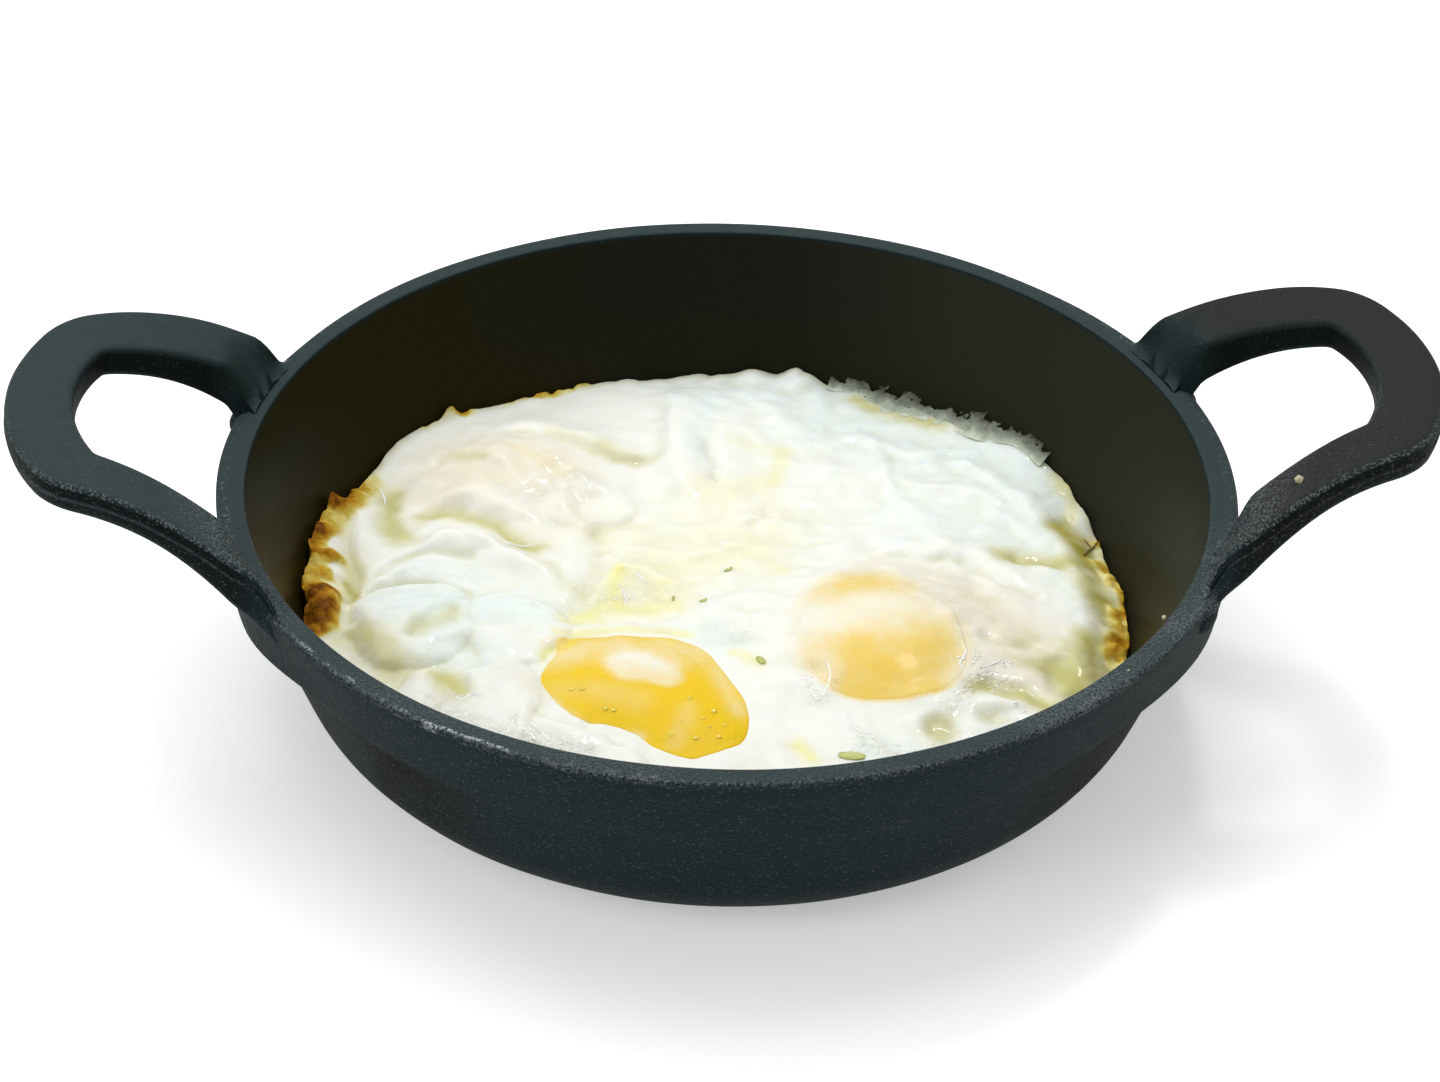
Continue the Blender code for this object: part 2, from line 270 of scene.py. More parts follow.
# The pan: one iron casting, a drafted bowl with a loop handle on each side. The roots of the
# handles are thickened by pads that stand out of the wall, and by small webs beside them.
RIM_RADIUS = 0.0895
RIM_HEIGHT = 0.0438
WALL_DRAFT = math.radians(20)
BASE_EDGE_RADIUS = 0.0190
RIM_WIDTH = 0.0040
RIM_OUTER_ROUNDING = 0.0009
RIM_INNER_ROUNDING = 0.0005
FLOOR_HEIGHT = 0.0045
HOLLOW_EDGE_RADIUS = 0.0150
PARTING_DROP = 0.0155
PARTING_STEP = 0.00022
PAN_SEGMENTS = 240
WALL_ROWS = 26
FLOOR_ROWS = 10
RIM_ROWS = 3
EDGE_STEPS = {"base": 18, "rim_outer": 7, "rim_inner": 5, "hollow": 14}
PAN_WAVINESS = 0.00012
PAN_WAVE_SCALE = 45.0

TAN_DRAFT = math.tan(WALL_DRAFT)
COS_DRAFT = math.cos(WALL_DRAFT)
SIN_DRAFT = math.sin(WALL_DRAFT)
HOLLOW_TOP_RADIUS = RIM_RADIUS - RIM_WIDTH


def smooth_step(value):
    """Ease from 0 to 1 as the value does; works on numbers and arrays."""
    value = np.clip(value, 0.0, 1.0)
    return value * value * (3.0 - 2.0 * value)


def arc(centre, radius, start, end, steps):
    """Return the points of an arc; angles are in degrees from the outward direction."""
    points = []
    for step in range(steps + 1):
        angle = math.radians(start + (end - start) * step / steps)
        points.append((centre[0] + radius * math.cos(angle), centre[1] + radius * math.sin(angle)))
    return points


def edge_centre(top_radius, floor_height, edge_radius):
    """Return the centre radius of the rounded edge between a drafted wall and its floor."""
    drop = RIM_HEIGHT - floor_height - edge_radius * (1.0 - SIN_DRAFT)
    return top_radius - drop * TAN_DRAFT - edge_radius * COS_DRAFT


def wall_points(top, foot, rows):
    """Return evenly spaced points down a straight wall, without its two ends."""
    points = []
    for row in range(1, rows):
        share = row / rows
        points.append((top[0] + (foot[0] - top[0]) * share, top[1] + (foot[1] - top[1]) * share))
    return points


def pan_profile():
    """Return the pan's section, from the middle of its base round the rim to its floor."""
    draft = math.degrees(WALL_DRAFT)
    centre = edge_centre(RIM_RADIUS, 0.0, BASE_EDGE_RADIUS)
    base_edge = arc((centre, BASE_EDGE_RADIUS), BASE_EDGE_RADIUS, -90, -draft, EDGE_STEPS["base"])
    rounding = RIM_OUTER_ROUNDING
    place = (RIM_RADIUS - rounding, RIM_HEIGHT - rounding)
    rim_outer = arc(place, rounding, -draft, 90, EDGE_STEPS["rim_outer"])
    rounding = RIM_INNER_ROUNDING
    place = (HOLLOW_TOP_RADIUS + rounding, RIM_HEIGHT - rounding)
    rim_inner = arc(place, rounding, 90, 180 - draft, EDGE_STEPS["rim_inner"])
    centre = edge_centre(HOLLOW_TOP_RADIUS, FLOOR_HEIGHT, HOLLOW_EDGE_RADIUS)
    place = (centre, FLOOR_HEIGHT + HOLLOW_EDGE_RADIUS)
    hollow_edge = arc(place, HOLLOW_EDGE_RADIUS, -draft, -90, EDGE_STEPS["hollow"])
    base = [(0.0, 0.0)] + wall_points((0.0, 0.0), base_edge[0], FLOOR_ROWS)
    outside = wall_points(base_edge[-1], rim_outer[0], WALL_ROWS)
    inside = wall_points(rim_inner[-1], hollow_edge[0], WALL_ROWS)
    rim_top = wall_points(rim_outer[-1], rim_inner[0], RIM_ROWS)
    floor = wall_points(hollow_edge[-1], (0.0, FLOOR_HEIGHT), FLOOR_ROWS) + [(0.0, FLOOR_HEIGHT)]
    return base + base_edge + outside + rim_outer + rim_top + rim_inner + inside + hollow_edge + floor


UPRIGHT = (0.0, 0.0, 1.0)
SAME_PLACE = 1e-6


def spun(profile, segments):
    """Spin a profile round the upright axis into a closed surface."""
    bm = bmesh.new()
    points = [bm.verts.new((radius, 0.0, height)) for radius, height in profile]
    section = points + [bm.edges.new(pair) for pair in zip(points, points[1:])]
    bmesh.ops.spin(bm, geom=section, axis=UPRIGHT, angle=math.tau, steps=segments, use_merge=True)
    bmesh.ops.remove_doubles(bm, verts=bm.verts, dist=SAME_PLACE)
    bmesh.ops.recalc_face_normals(bm, faces=bm.faces)
    return bm


PAD_TOP_RADIUS = 0.0904
PAD_FOOT_RADIUS = 0.0880
# Where each side's pads begin and cease to fade, as turns from the handle's middle
PAD_ENDS = {1: (math.radians(18), math.radians(50)), -1: (math.radians(14), math.radians(34))}
PAD_FOOT_ROUNDING = 0.0016
PARTING_RUN = 0.0030
OUTER_SIDE_SHARE = 0.8
BASE_CLEARANCE = 1e-4


def shape_casting(bm):
    """Raise the root pads and the parting line out of the wall, and make the casting uneven."""
    for point in bm.verts:
        radius = math.hypot(point.co.x, point.co.y)
        drop = RIM_HEIGHT - point.co.z
        wall = RIM_RADIUS - drop * TAN_DRAFT
        if radius < SAME_PLACE:
            continue
        outward = Vector((point.co.x, point.co.y, 0.0)) / radius
        outer = float(smooth_step((radius - wall + RIM_WIDTH) / (OUTER_SIDE_SHARE * RIM_WIDTH)))
        if outer > 0.0 and drop < PARTING_DROP + PAD_FOOT_ROUNDING:
            azimuth = math.atan2(abs(point.co.y), abs(point.co.x))
            full_angle, end_angle = PAD_ENDS[1 if point.co.x > 0.0 else -1]
            fade = (azimuth - full_angle) / (end_angle - full_angle)
            foot = smooth_step((PARTING_DROP + PAD_FOOT_ROUNDING - drop) / PAD_FOOT_ROUNDING)
            face = PAD_TOP_RADIUS + (PAD_FOOT_RADIUS - PAD_TOP_RADIUS) * drop / PARTING_DROP
            proud = (1.0 - smooth_step(fade)) * max(0.0, face - wall)
            parting = PARTING_STEP * smooth_step((drop - RIM_OUTER_ROUNDING) / PARTING_RUN)
            point.co += outward * outer * float(foot) * float(proud + parting)
        if point.co.z > BASE_CLEARANCE:
            point.co += point.normal * noise.noise(point.co * PAN_WAVE_SCALE) * PAN_WAVINESS


HANDLE_REACH = 0.1263
HANDLE_WIDTH = 0.0120
# Half of the band's middle line: two arcs, as radius, turn and steps, and then a straight arm
TIP_ARC = (0.0380, math.radians(29.5), 16)
CORNER_ARC = (0.0082, math.radians(40), 12)
ARM_END_X = 0.0740
ARM_STEPS = 44
HANDLE_THICKNESS = 0.0061
CREST_RISE = 0.0202
CREST_DISTANCE = 0.1186
RISE_RUN = 0.0387
RISE_SKEW = 0.12
ROOT_THICKENING = 0.0092
ROOT_THICKENING_POWER = 3
EDGE_ROUNDING = 0.0015
TOP_EDGE_STEPS = 4
LOW_EDGE_STEPS = 3
SIDE_STEP_DROP = 0.0031
SIDE_STEP_DEPTH = 0.00035
OUTER_FILLET = 0.0022
INNER_FILLET = 0.0042
FILLET_BAND = 0.0015
FILLET_DRAFT_SHARE = 0.35
FLANK_SHARE = 0.8
HANDLE_WAVE_SCALE = 60.0
ROOT_BLEND_INSIDE = 0.0032
ROOT_BLEND_RUN = 0.0065
ROOT_BLEND_DROP = 0.0002
CLOSING_RUN = 0.0120
CLOSING_SINK = 0.0004


def handle_shortfall(x, y):
    """Return how far, in runs, a place lies inside the handle's crest."""
    return max(0.0, CREST_DISTANCE - x - RISE_SKEW * abs(y)) / RISE_RUN


def handle_top(x, y):
    """Return the height of the handle's top, which comes down to the rim over the last few millimetres."""
    clear = float(smooth_step((math.hypot(x, y) - RIM_RADIUS + ROOT_BLEND_INSIDE) / ROOT_BLEND_RUN))
    return RIM_HEIGHT - ROOT_BLEND_DROP + CREST_RISE * (1.0 - handle_shortfall(x, y) ** 2) * clear


def handle_thickness(x, y):
    """Return the band's thickness at a place, which grows towards the root."""
    return HANDLE_THICKNESS + ROOT_THICKENING * handle_shortfall(x, y) ** ROOT_THICKENING_POWER


def half_path():
    """Return (point, heading) stations from the handle's tip to the end of one arm."""
    stations = []
    point = Vector((HANDLE_REACH - HANDLE_WIDTH / 2, 0.0))
    heading = math.pi / 2
    for radius, turn, steps in (TIP_ARC, CORNER_ARC):
        centre = point + radius * Vector((-math.sin(heading), math.cos(heading)))
        for step in range(steps):
            angle = heading + turn * step / steps
            stations.append((centre + radius * Vector((math.sin(angle), -math.cos(angle))), angle))
        heading += turn
        point = centre + radius * Vector((math.sin(heading), -math.cos(heading)))
    direction = Vector((math.cos(heading), math.sin(heading)))
    arm_length = (ARM_END_X - point.x) / direction.x
    for step in range(ARM_STEPS + 1):
        stations.append((point + direction * (arm_length * step / ARM_STEPS), heading))
    return stations


def fillet_flare(distance, radius):
    """Return how far a fillet of a radius stands out at a distance from the wall."""
    gap = min(max(distance, 0.0), radius)
    return radius - math.sqrt(radius**2 - (radius - gap) ** 2)


def band_section():
    """Return the corners of the band's section: its side, its under edge, and both mirrored.

    Each is an offset from the middle, 0 at the band's top or 1 at its foot, and a drop from there.
    """
    half = HANDLE_WIDTH / 2
    flat = half - EDGE_ROUNDING
    side = []
    for step in range(TOP_EDGE_STEPS + 1):
        turn = math.radians(90 * step / TOP_EDGE_STEPS)
        side.append((flat + EDGE_ROUNDING * math.sin(turn), 0, EDGE_ROUNDING * (1.0 - math.cos(turn))))
    inner = [(-offset, low, drop) for offset, low, drop in side]
    side.append((half, 0, SIDE_STEP_DROP - SIDE_STEP_DEPTH))
    side.append((half - SIDE_STEP_DEPTH, 0, SIDE_STEP_DROP))
    side.append((half + SIDE_STEP_DEPTH / 2, 0, SIDE_STEP_DROP + SIDE_STEP_DEPTH))
    under = []
    for step in range(LOW_EDGE_STEPS + 1):
        turn = math.radians(90 * step / LOW_EDGE_STEPS)
        under.append((flat + EDGE_ROUNDING * math.cos(turn), 1, -EDGE_ROUNDING * (1.0 - math.sin(turn))))
    inner_under = [(-offset, low, drop) for offset, low, drop in under]
    middle = [(-half / 3, 0, 0.0), (half / 3, 0, 0.0)]
    return side + under + inner_under[::-1] + inner[::-1] + middle


def wall_radius(height, draft_share=1.0):
    """Return the radius of the pan's outer wall at a height, or the rim's radius above the rim."""
    return RIM_RADIUS - max(0.0, RIM_HEIGHT - height) * TAN_DRAFT * draft_share


def handle_ring(place, heading):
    """Return the band's section at a station, flared by fillets and drawn onto the wall at the root."""
    across = Vector((math.sin(heading), -math.cos(heading)))
    ring = []
    for offset, low, drop in band_section():
        spot = place + across * offset
        height = handle_top(spot.x, spot.y) - low * handle_thickness(spot.x, spot.y) - drop
        gap = spot.length - wall_radius(height, FILLET_DRAFT_SHARE)
        below_rim = smooth_step((RIM_HEIGHT + FILLET_BAND - height) / (2 * FILLET_BAND))
        fillet = OUTER_FILLET if offset > 0 else INNER_FILLET
        flank = abs(offset) > FLANK_SHARE * HANDLE_WIDTH / 2
        spread = fillet_flare(gap, fillet) * float(below_rim) * flank
        spot += across * math.copysign(spread, offset)
        wall = wall_radius(height)
        if place.x > ARM_END_X and spot.length > wall:
            closing = float(smooth_step((place.x - ARM_END_X) / CLOSING_RUN))
            gap = (spot.length - wall + CLOSING_SINK) * closing - CLOSING_SINK
            spot *= (wall + gap) / spot.length
        ring.append((*spot, height))
    return ring


def loft(rings, bm=None):
    """Bridge a row of closed rings into one capped solid, in a new bmesh or in the one given."""
    bm = bm or bmesh.new()
    loops = []
    for ring in rings:
        points = [bm.verts.new(point) for point in ring]
        loops.append([bm.edges.new(pair) for pair in zip(points, points[1:] + points[:1])])
    for one, other in zip(loops, loops[1:]):
        bmesh.ops.bridge_loops(bm, edges=one + other)
    bmesh.ops.contextual_create(bm, geom=loops[0])
    bmesh.ops.contextual_create(bm, geom=loops[-1])
    bmesh.ops.recalc_face_normals(bm, faces=bm.faces)
    return bm


def handle_loop(side):
    """Return one handle; side is 1 at +X and -1 at -X."""
    half = half_path()
    mirrored = [(Vector((place.x, -place.y)), math.pi - heading) for place, heading in half[1:]]
    bm = loft([handle_ring(*station) for station in mirrored[::-1] + half])
    for point in bm.verts:
        point.co += point.normal * noise.noise(point.co * HANDLE_WAVE_SCALE) * PAN_WAVINESS
    if side < 0:
        bmesh.ops.rotate(bm, verts=bm.verts, matrix=Matrix.Rotation(math.pi, 3, "Z"), cent=(0, 0, 0))
    return bm


def join_by_boolean(piece, cutter, operation):
    """Join or cut a piece by another, keep the result in its mesh and drop the other."""
    modifier = piece.modifiers.new("join", "BOOLEAN")
    modifier.operation = operation
    modifier.solver = "EXACT"
    modifier.object = cutter
    shaped = bpy.data.meshes.new_from_object(piece.evaluated_get(bpy.context.evaluated_depsgraph_get()))
    piece.modifiers.clear()
    piece.data = shaped
    bpy.data.objects.remove(cutter)


# The iron's colours; a pair is the two tones that a colour wanders between
IRON_OUTSIDE = ((0.0085, 0.0160, 0.0170), (0.0110, 0.0190, 0.0200))
# painted shade for the outer wall low down at the sides, where it turns under
IRON_LOW_SHADE = (0.0030, 0.0034, 0.0036)
# drier iron, made lighter still as painted top light on faces that look up
IRON_DRY_TOPLIT = ((0.0300, 0.0440, 0.0460), (0.0420, 0.0590, 0.0610))
IRON_BROWNED = (0.0270, 0.0300, 0.0285)
IRON_OILED = ((0.0150, 0.0125, 0.0022), (0.0250, 0.0165, 0.0022))
IRON_HOLLOW_MIDDLE = (0.0125, 0.0133, 0.0085)
# painted sheen on the right of the hollow
IRON_HOLLOW_RIGHT_SHEEN = (0.0250, 0.0275, 0.0180)
IRON_HOLLOW_LEFT = (0.0160, 0.0150, 0.0040)
IRON_WORN = (0.16, 0.18, 0.18)
IRON_SCRATCHED = (0.42, 0.46, 0.46)
IRON_GRITTY = (0.150, 0.165, 0.172)
IRON_RUBBED = (0.150, 0.165, 0.168)
IRON_PITTED = (0.0030, 0.0050, 0.0050)
# painted shade for the handles' upright faces
IRON_SHADED = (0.0022, 0.0027, 0.0022)
# painted glints: pale dots on the outer iron
IRON_GLINT_SPECK = (0.10, 0.11, 0.11)


class IronFinish(Finish):
    """Seasoned iron: near-black, pebbled by the sand it was cast in, worn bright along the rim."""

    def __init__(self):
        super().__init__("seasoned_iron")
        self.x, self.y, self.z = self.axes(self.place())
        self.radius = (self.x * self.x + self.y * self.y) ** 0.5
        self.upward = self.axes(self.node("ShaderNodeNewGeometry", output="Normal"))[2]
        self.broad = self.noise(38.0, 3.0)
        self.fine = self.noise(420.0, 3.0, 0.6)
        self.pebble = self.noise(1500.0, 2.0, 0.6)
        self.patchy = self.range(self.noise(60.0), 0.40, 0.62)
        wall = RIM_RADIUS - (RIM_HEIGHT - self.z) * TAN_DRAFT
        below_rim = self.range(self.z, RIM_HEIGHT - 0.0002, RIM_HEIGHT - 0.0012)
        self.inside = self.range(wall - self.radius, RIM_WIDTH * 0.6, RIM_WIDTH * 0.9) * below_rim
        self.under_crest = self.range(self.z, RIM_HEIGHT + 0.0010, RIM_HEIGHT + 0.0003)
        self.handled = self.range(self.radius, RIM_RADIUS + 0.0010, RIM_RADIUS + 0.0060)
        self.near = self.range(self.y, 0.010, -0.030)

    def outside_colour(self):
        """Near-black, with painted shade low at the sides; grey where it faces up, lighter there as painted
        top light over drier iron.
        """
        colour = self.blend(self.broad, *IRON_OUTSIDE)
        low = self.range(self.z, RIM_HEIGHT - PARTING_DROP, RIM_HEIGHT - PARTING_DROP - 0.0012)
        # painted shade: the wall is darkened in blotches low down at the sides
        low_shade = low * self.range(abs(self.x), 0.040, 0.062) * self.range(self.broad, 0.30, 0.50)
        colour = self.blend(low_shade, colour, IRON_LOW_SHADE)
        browned = self.handled * self.range(self.x, 0.0, 0.02)
        dry_toplit = self.blend(browned, self.blend(self.fine, *IRON_DRY_TOPLIT), IRON_BROWNED)
        # painted top light: faces that look up are blended towards the paler, drier iron
        return self.blend(self.range(self.upward, 0.35, 0.92), colour, dry_toplit)

    def hollow_colour(self):
        """Olive-black, painted paler at the right as sheen, with a brown film of oil low down and at the
        left.
        """
        left = self.range(self.x, -0.010, -0.060)
        # painted sheen: the right of the hollow, which faces the light, is painted paler
        right = self.range(self.x, 0.010, 0.060)
        colour = self.blend(right, IRON_HOLLOW_MIDDLE, IRON_HOLLOW_RIGHT_SHEEN)
        colour = self.blend(left, colour, IRON_HOLLOW_LEFT)
        oiled = self.range(self.z, 0.036, 0.012) * (0.35 + 0.55 * left)
        return self.blend(oiled.clamped(), colour, self.blend(self.broad, *IRON_OILED))

    def wear_rim(self, colour):
        """Wear the rim's outer edge, scratch a line along its front left and leave its front gritty."""
        edge = self.range(abs(self.radius - (RIM_RADIUS - 0.0004)), 0.0011, 0.0002)
        edge = edge * self.range(self.z, RIM_HEIGHT - 0.0016, RIM_HEIGHT - 0.0005) * self.under_crest
        grit = self.range(self.noise(900.0, 4.0, 0.75), 0.52, 0.66)
        colour = self.blend(edge * grit * (self.patchy * 0.75 + 0.25), colour, IRON_WORN)
        level = self.range(self.z, RIM_HEIGHT - 0.0020, RIM_HEIGHT - 0.0010) * self.under_crest
        line_radius = self.noise(220.0) * 0.0012 + RIM_RADIUS - 0.0011
        line = self.range(abs(self.radius - line_radius), 0.00034, 0.00014) * level
        line = line * self.range(self.y, -0.030, -0.040)
        strong = self.range(self.x, -0.0560, -0.0530) * self.range(self.x, -0.0405, -0.0430)
        strong = strong * self.range(self.fine, 0.36, 0.44)
        dashed = self.range(self.x, -0.0780, -0.0740) * self.range(self.x, -0.0520, -0.0550)
        dashed = dashed * self.range(self.noise(300.0), 0.50, 0.56)
        grains = self.range(self.noise(1700.0), 0.42, 0.54)
        scratch = line * grains * (strong + 0.55 * dashed)
        colour = self.blend(scratch.clamped(), colour, IRON_SCRATCHED)
        top = self.range(self.radius, HOLLOW_TOP_RADIUS - 0.0002, HOLLOW_TOP_RADIUS + 0.0004)
        top = top * self.range(self.radius, RIM_RADIUS + 0.0012, RIM_RADIUS - 0.0004) * level
        front = self.range(self.y, -0.010, -0.036) * (0.45 + 0.55 * self.range(self.x, 0.030, 0.060))
        sand = self.range(self.noise(2100.0, 3.0, 0.75), 0.48, 0.58) * (0.35 + 0.65 * self.patchy)
        return self.blend((top * front * sand).clamped(), colour, IRON_GRITTY)

    def wear_handles(self, colour):
        """Rub the handles' near edges bright, pit their near sides and paint shade on their upright faces.
        """
        eased = self.range(self.upward, 0.12, 0.45) * self.range(self.upward, 0.93, 0.80)
        eased = eased * (1.0 - self.inside)
        grains = self.range(self.noise(2200.0, 3.0, 0.7), 0.49, 0.60)
        colour = self.blend(eased * grains * (0.05 + 0.75 * self.near), colour, IRON_RUBBED)
        beside = self.range(abs(self.upward), 0.30, 0.10) * self.near * self.handled
        pits = self.range(self.noise(1100.0, 3.0, 0.7), 0.50, 0.58)
        colour = self.blend(beside * pits * 0.55, colour, IRON_PITTED)
        # painted shade: the handles' upright faces are darkened as if turned away from the light above
        upright = self.range(abs(self.upward), 0.35, 0.12) * self.handled * (1.0 - self.inside)
        return self.blend(upright * 0.72, colour, IRON_SHADED)

    def relief(self):
        """Pebbles over a faint unevenness outside; inside, the pebbles are nearly filled by the oil."""
        cast = self.bump(self.noise(130.0), 0.0004, 0.35)
        cast = self.bump(self.pebble, 0.00022, 0.9, cast)
        filled = self.bump(self.pebble, 0.00005, 0.5)
        sockets = {0: self.inside, 4: cast, 5: filled}
        return self.node("ShaderNodeMix", {"data_type": "VECTOR"}, sockets, output=1)

    def finished(self):
        """Put the layers together and return the material."""
        colour = self.blend(self.inside, self.outside_colour(), self.hollow_colour())
        colour = self.wear_handles(self.wear_rim(colour))
        # painted glints: small pale dots over the outside iron, more of them on the near side
        glint_speck = self.range(self.noise(2100.0, 1.0), 0.62, 0.72) * (1.0 - self.inside)
        self.feed(
            Base_Color=self.blend(glint_speck * (0.15 + 0.30 * self.near), colour, IRON_GLINT_SPECK),
            Roughness=0.50 + 0.12 * self.fine - 0.16 * self.inside - 0.10 * self.inside * self.broad,
            Normal=self.relief(),
            Specular_IOR_Level=0.03,
        )
        return self.material


# Webs by side: turn in degrees, and size along the radius, along the rim and upwards
LUGS = {
    1: ((-27.5, (0.0021, 0.0042, 0.0033)), (17.5, (0.0036, 0.0042, 0.0026))),
    -1: ((-17.5, (0.0036, 0.0042, 0.0026)),),
}
LUG_HEIGHT = RIM_HEIGHT - 0.0034
LUG_RADIUS = 0.0892
TOOL_MARGIN = 0.0018
TOOL_FOOT = 0.0020
TOOL_RISE = 0.030
TOOL_SEGMENTS = 96
PAN_CREASE = 38


def hollow_tool():
    """Return the section of a cone that clears the handles' roots out of the hollow."""
    top = HOLLOW_TOP_RADIUS + TOOL_MARGIN
    foot = top - (RIM_HEIGHT - TOOL_FOOT) * TAN_DRAFT
    crown = RIM_HEIGHT + TOOL_RISE
    return [(0.0, crown), (top, crown), (top, RIM_HEIGHT), (foot, TOOL_FOOT), (0.0, TOOL_FOOT)]


def web_lugs(side):
    """Return the rounded webs beside the roots of one handle, just below the rim."""
    bm = bmesh.new()
    seat = Matrix.Translation((LUG_RADIUS, 0.0, LUG_HEIGHT))
    for turn, size in LUGS[side]:
        outward = Matrix.Rotation(math.radians(turn if side > 0 else 180.0 + turn), 4, "Z")
        place = outward @ seat @ Matrix.Diagonal((*size, 1.0))
        bmesh.ops.create_uvsphere(bm, u_segments=24, v_segments=16, radius=1.0, matrix=place)
    return bm


pan_bowl = spun(pan_profile(), PAN_SEGMENTS)
pan_bowl.normal_update()
shape_casting(pan_bowl)
pan = add_piece("iron_pan", pan_bowl, [IronFinish().finished()])
for pan_side in (1, -1):
    handle = add_piece("handle", handle_loop(pan_side), [])
    join_by_boolean(handle, add_piece("hollow_tool", spun(hollow_tool(), TOOL_SEGMENTS), []), "DIFFERENCE")
    join_by_boolean(pan, handle, "UNION")
    join_by_boolean(pan, add_piece("lugs", web_lugs(pan_side), []), "UNION")
pan.data.shade_smooth()
pan.data.set_sharp_from_angle(angle=math.radians(PAN_CREASE))
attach(pan, "root")
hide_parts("pan")


# The egg white: three eggs fried together, so one sheet of set white fills the hollow. It is thick
# and lapped in lobes at the left, thin and wavy at the back right, and blistered where it browned
# against the iron. Places on it are in millimetres from the middle of the pan.
MM = 0.001
white_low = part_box("egg_white")[0]
EGG_FOOT = white_low.z / MM
WHITE_LEVEL = EGG_FOOT + 12.6
SHEET_CELLS = 280
EGG_CREASE = 75
WALL_GAP = 0.35


def smooth_line(points, closed=False, steps=5):
    """Return a Catmull-Rom curve through a few points, as an array of places."""
    points = [np.array(point, float) for point in points]
    if closed:
        points = [points[-1], *points, points[0], points[1]]
    else:
        points = [2 * points[0] - points[1], *points, 2 * points[-1] - points[-2]]
    places = []
    for before, start, end, after in zip(points, points[1:], points[2:], points[3:]):
        for step in range(steps):
            share = step / steps
            pull = (end - before) * share + (2 * before - 5 * start + 4 * end - after) * share**2
            places.append(start + 0.5 * (pull + (3 * start - before - 3 * end + after) * share**3))
    places.append(points[-2])
    return np.array(places)


def line_gap(points, x, y, closed=False):
    """Return each place's distance to a smooth line, positive on the line's left."""
    line = smooth_line(points, closed)
    best = np.full(x.shape, 1e9)
    side = np.ones(x.shape)
    for (start_x, start_y), (end_x, end_y) in zip(line, line[1:]):
        run_x, run_y = end_x - start_x, end_y - start_y
        length = run_x**2 + run_y**2 + 1e-12
        share = np.clip(((x - start_x) * run_x + (y - start_y) * run_y) / length, 0.0, 1.0)
        gap = np.hypot(x - start_x - share * run_x, y - start_y - share * run_y)
        nearer = gap < best
        turn = run_x * (y - start_y) - run_y * (x - start_x)
        best = np.where(nearer, gap, best)
        side = np.where(nearer, np.where(turn >= 0.0, 1.0, -1.0), side)
    return best * side


def depth_inside(outline, x, y):
    """Return the distance inside a closed outline that runs anticlockwise; negative outside."""
    return line_gap(outline, x, y, closed=True)


def bell(gap, width):
    """Return a share that falls from 1 at no gap to almost 0 at twice the width."""
    return np.exp(-((gap / width) ** 2))


PILLOW_FULLNESS = 0.75


def pillow(depth, width):
    """Return the height share of a lobe with a round edge: 0 outside, and 1 past the edge's width."""
    share = np.clip(depth / width, 0.0, 1.0)
    return (1.0 - (1.0 - share) ** 2) ** PILLOW_FULLNESS


# How fractal noise fades and how much finer it gets from one octave to the next
OCTAVE_FADE = 0.9
OCTAVE_STEP = 2.1


def spread_noise(x, y, size_x, size_y, seed, octaves=2):
    """Return fractal noise, roughly from -1 to 1, with lumps of the given sizes."""
    values = np.empty(x.shape)
    for index, (place_x, place_y) in enumerate(zip(x / size_x, y / size_y)):
        values[index] = noise.fractal((place_x, place_y, seed), OCTAVE_FADE, OCTAVE_STEP, octaves)
    return values


# Soft humps: middle x and y, spread x and y, rise
HUMPS = (
    (-34.0, 44.0, 19.0, 15.0, 4.6),
    (-57.0, -10.0, 15.0, 15.0, 2.6),
    (-46.0, -38.0, 20.0, 16.0, 1.8),
    (-50.0, 22.0, 16.0, 13.0, 1.6),
    (5.0, 50.0, 20.0, 18.0, 2.4),
    (45.0, 30.0, 22.0, 20.0, 1.2),
    (-16.0, -31.0, 26.0, 24.0, 1.3),
    (0.5, -8.0, 9.0, 7.0, 1.0),
)

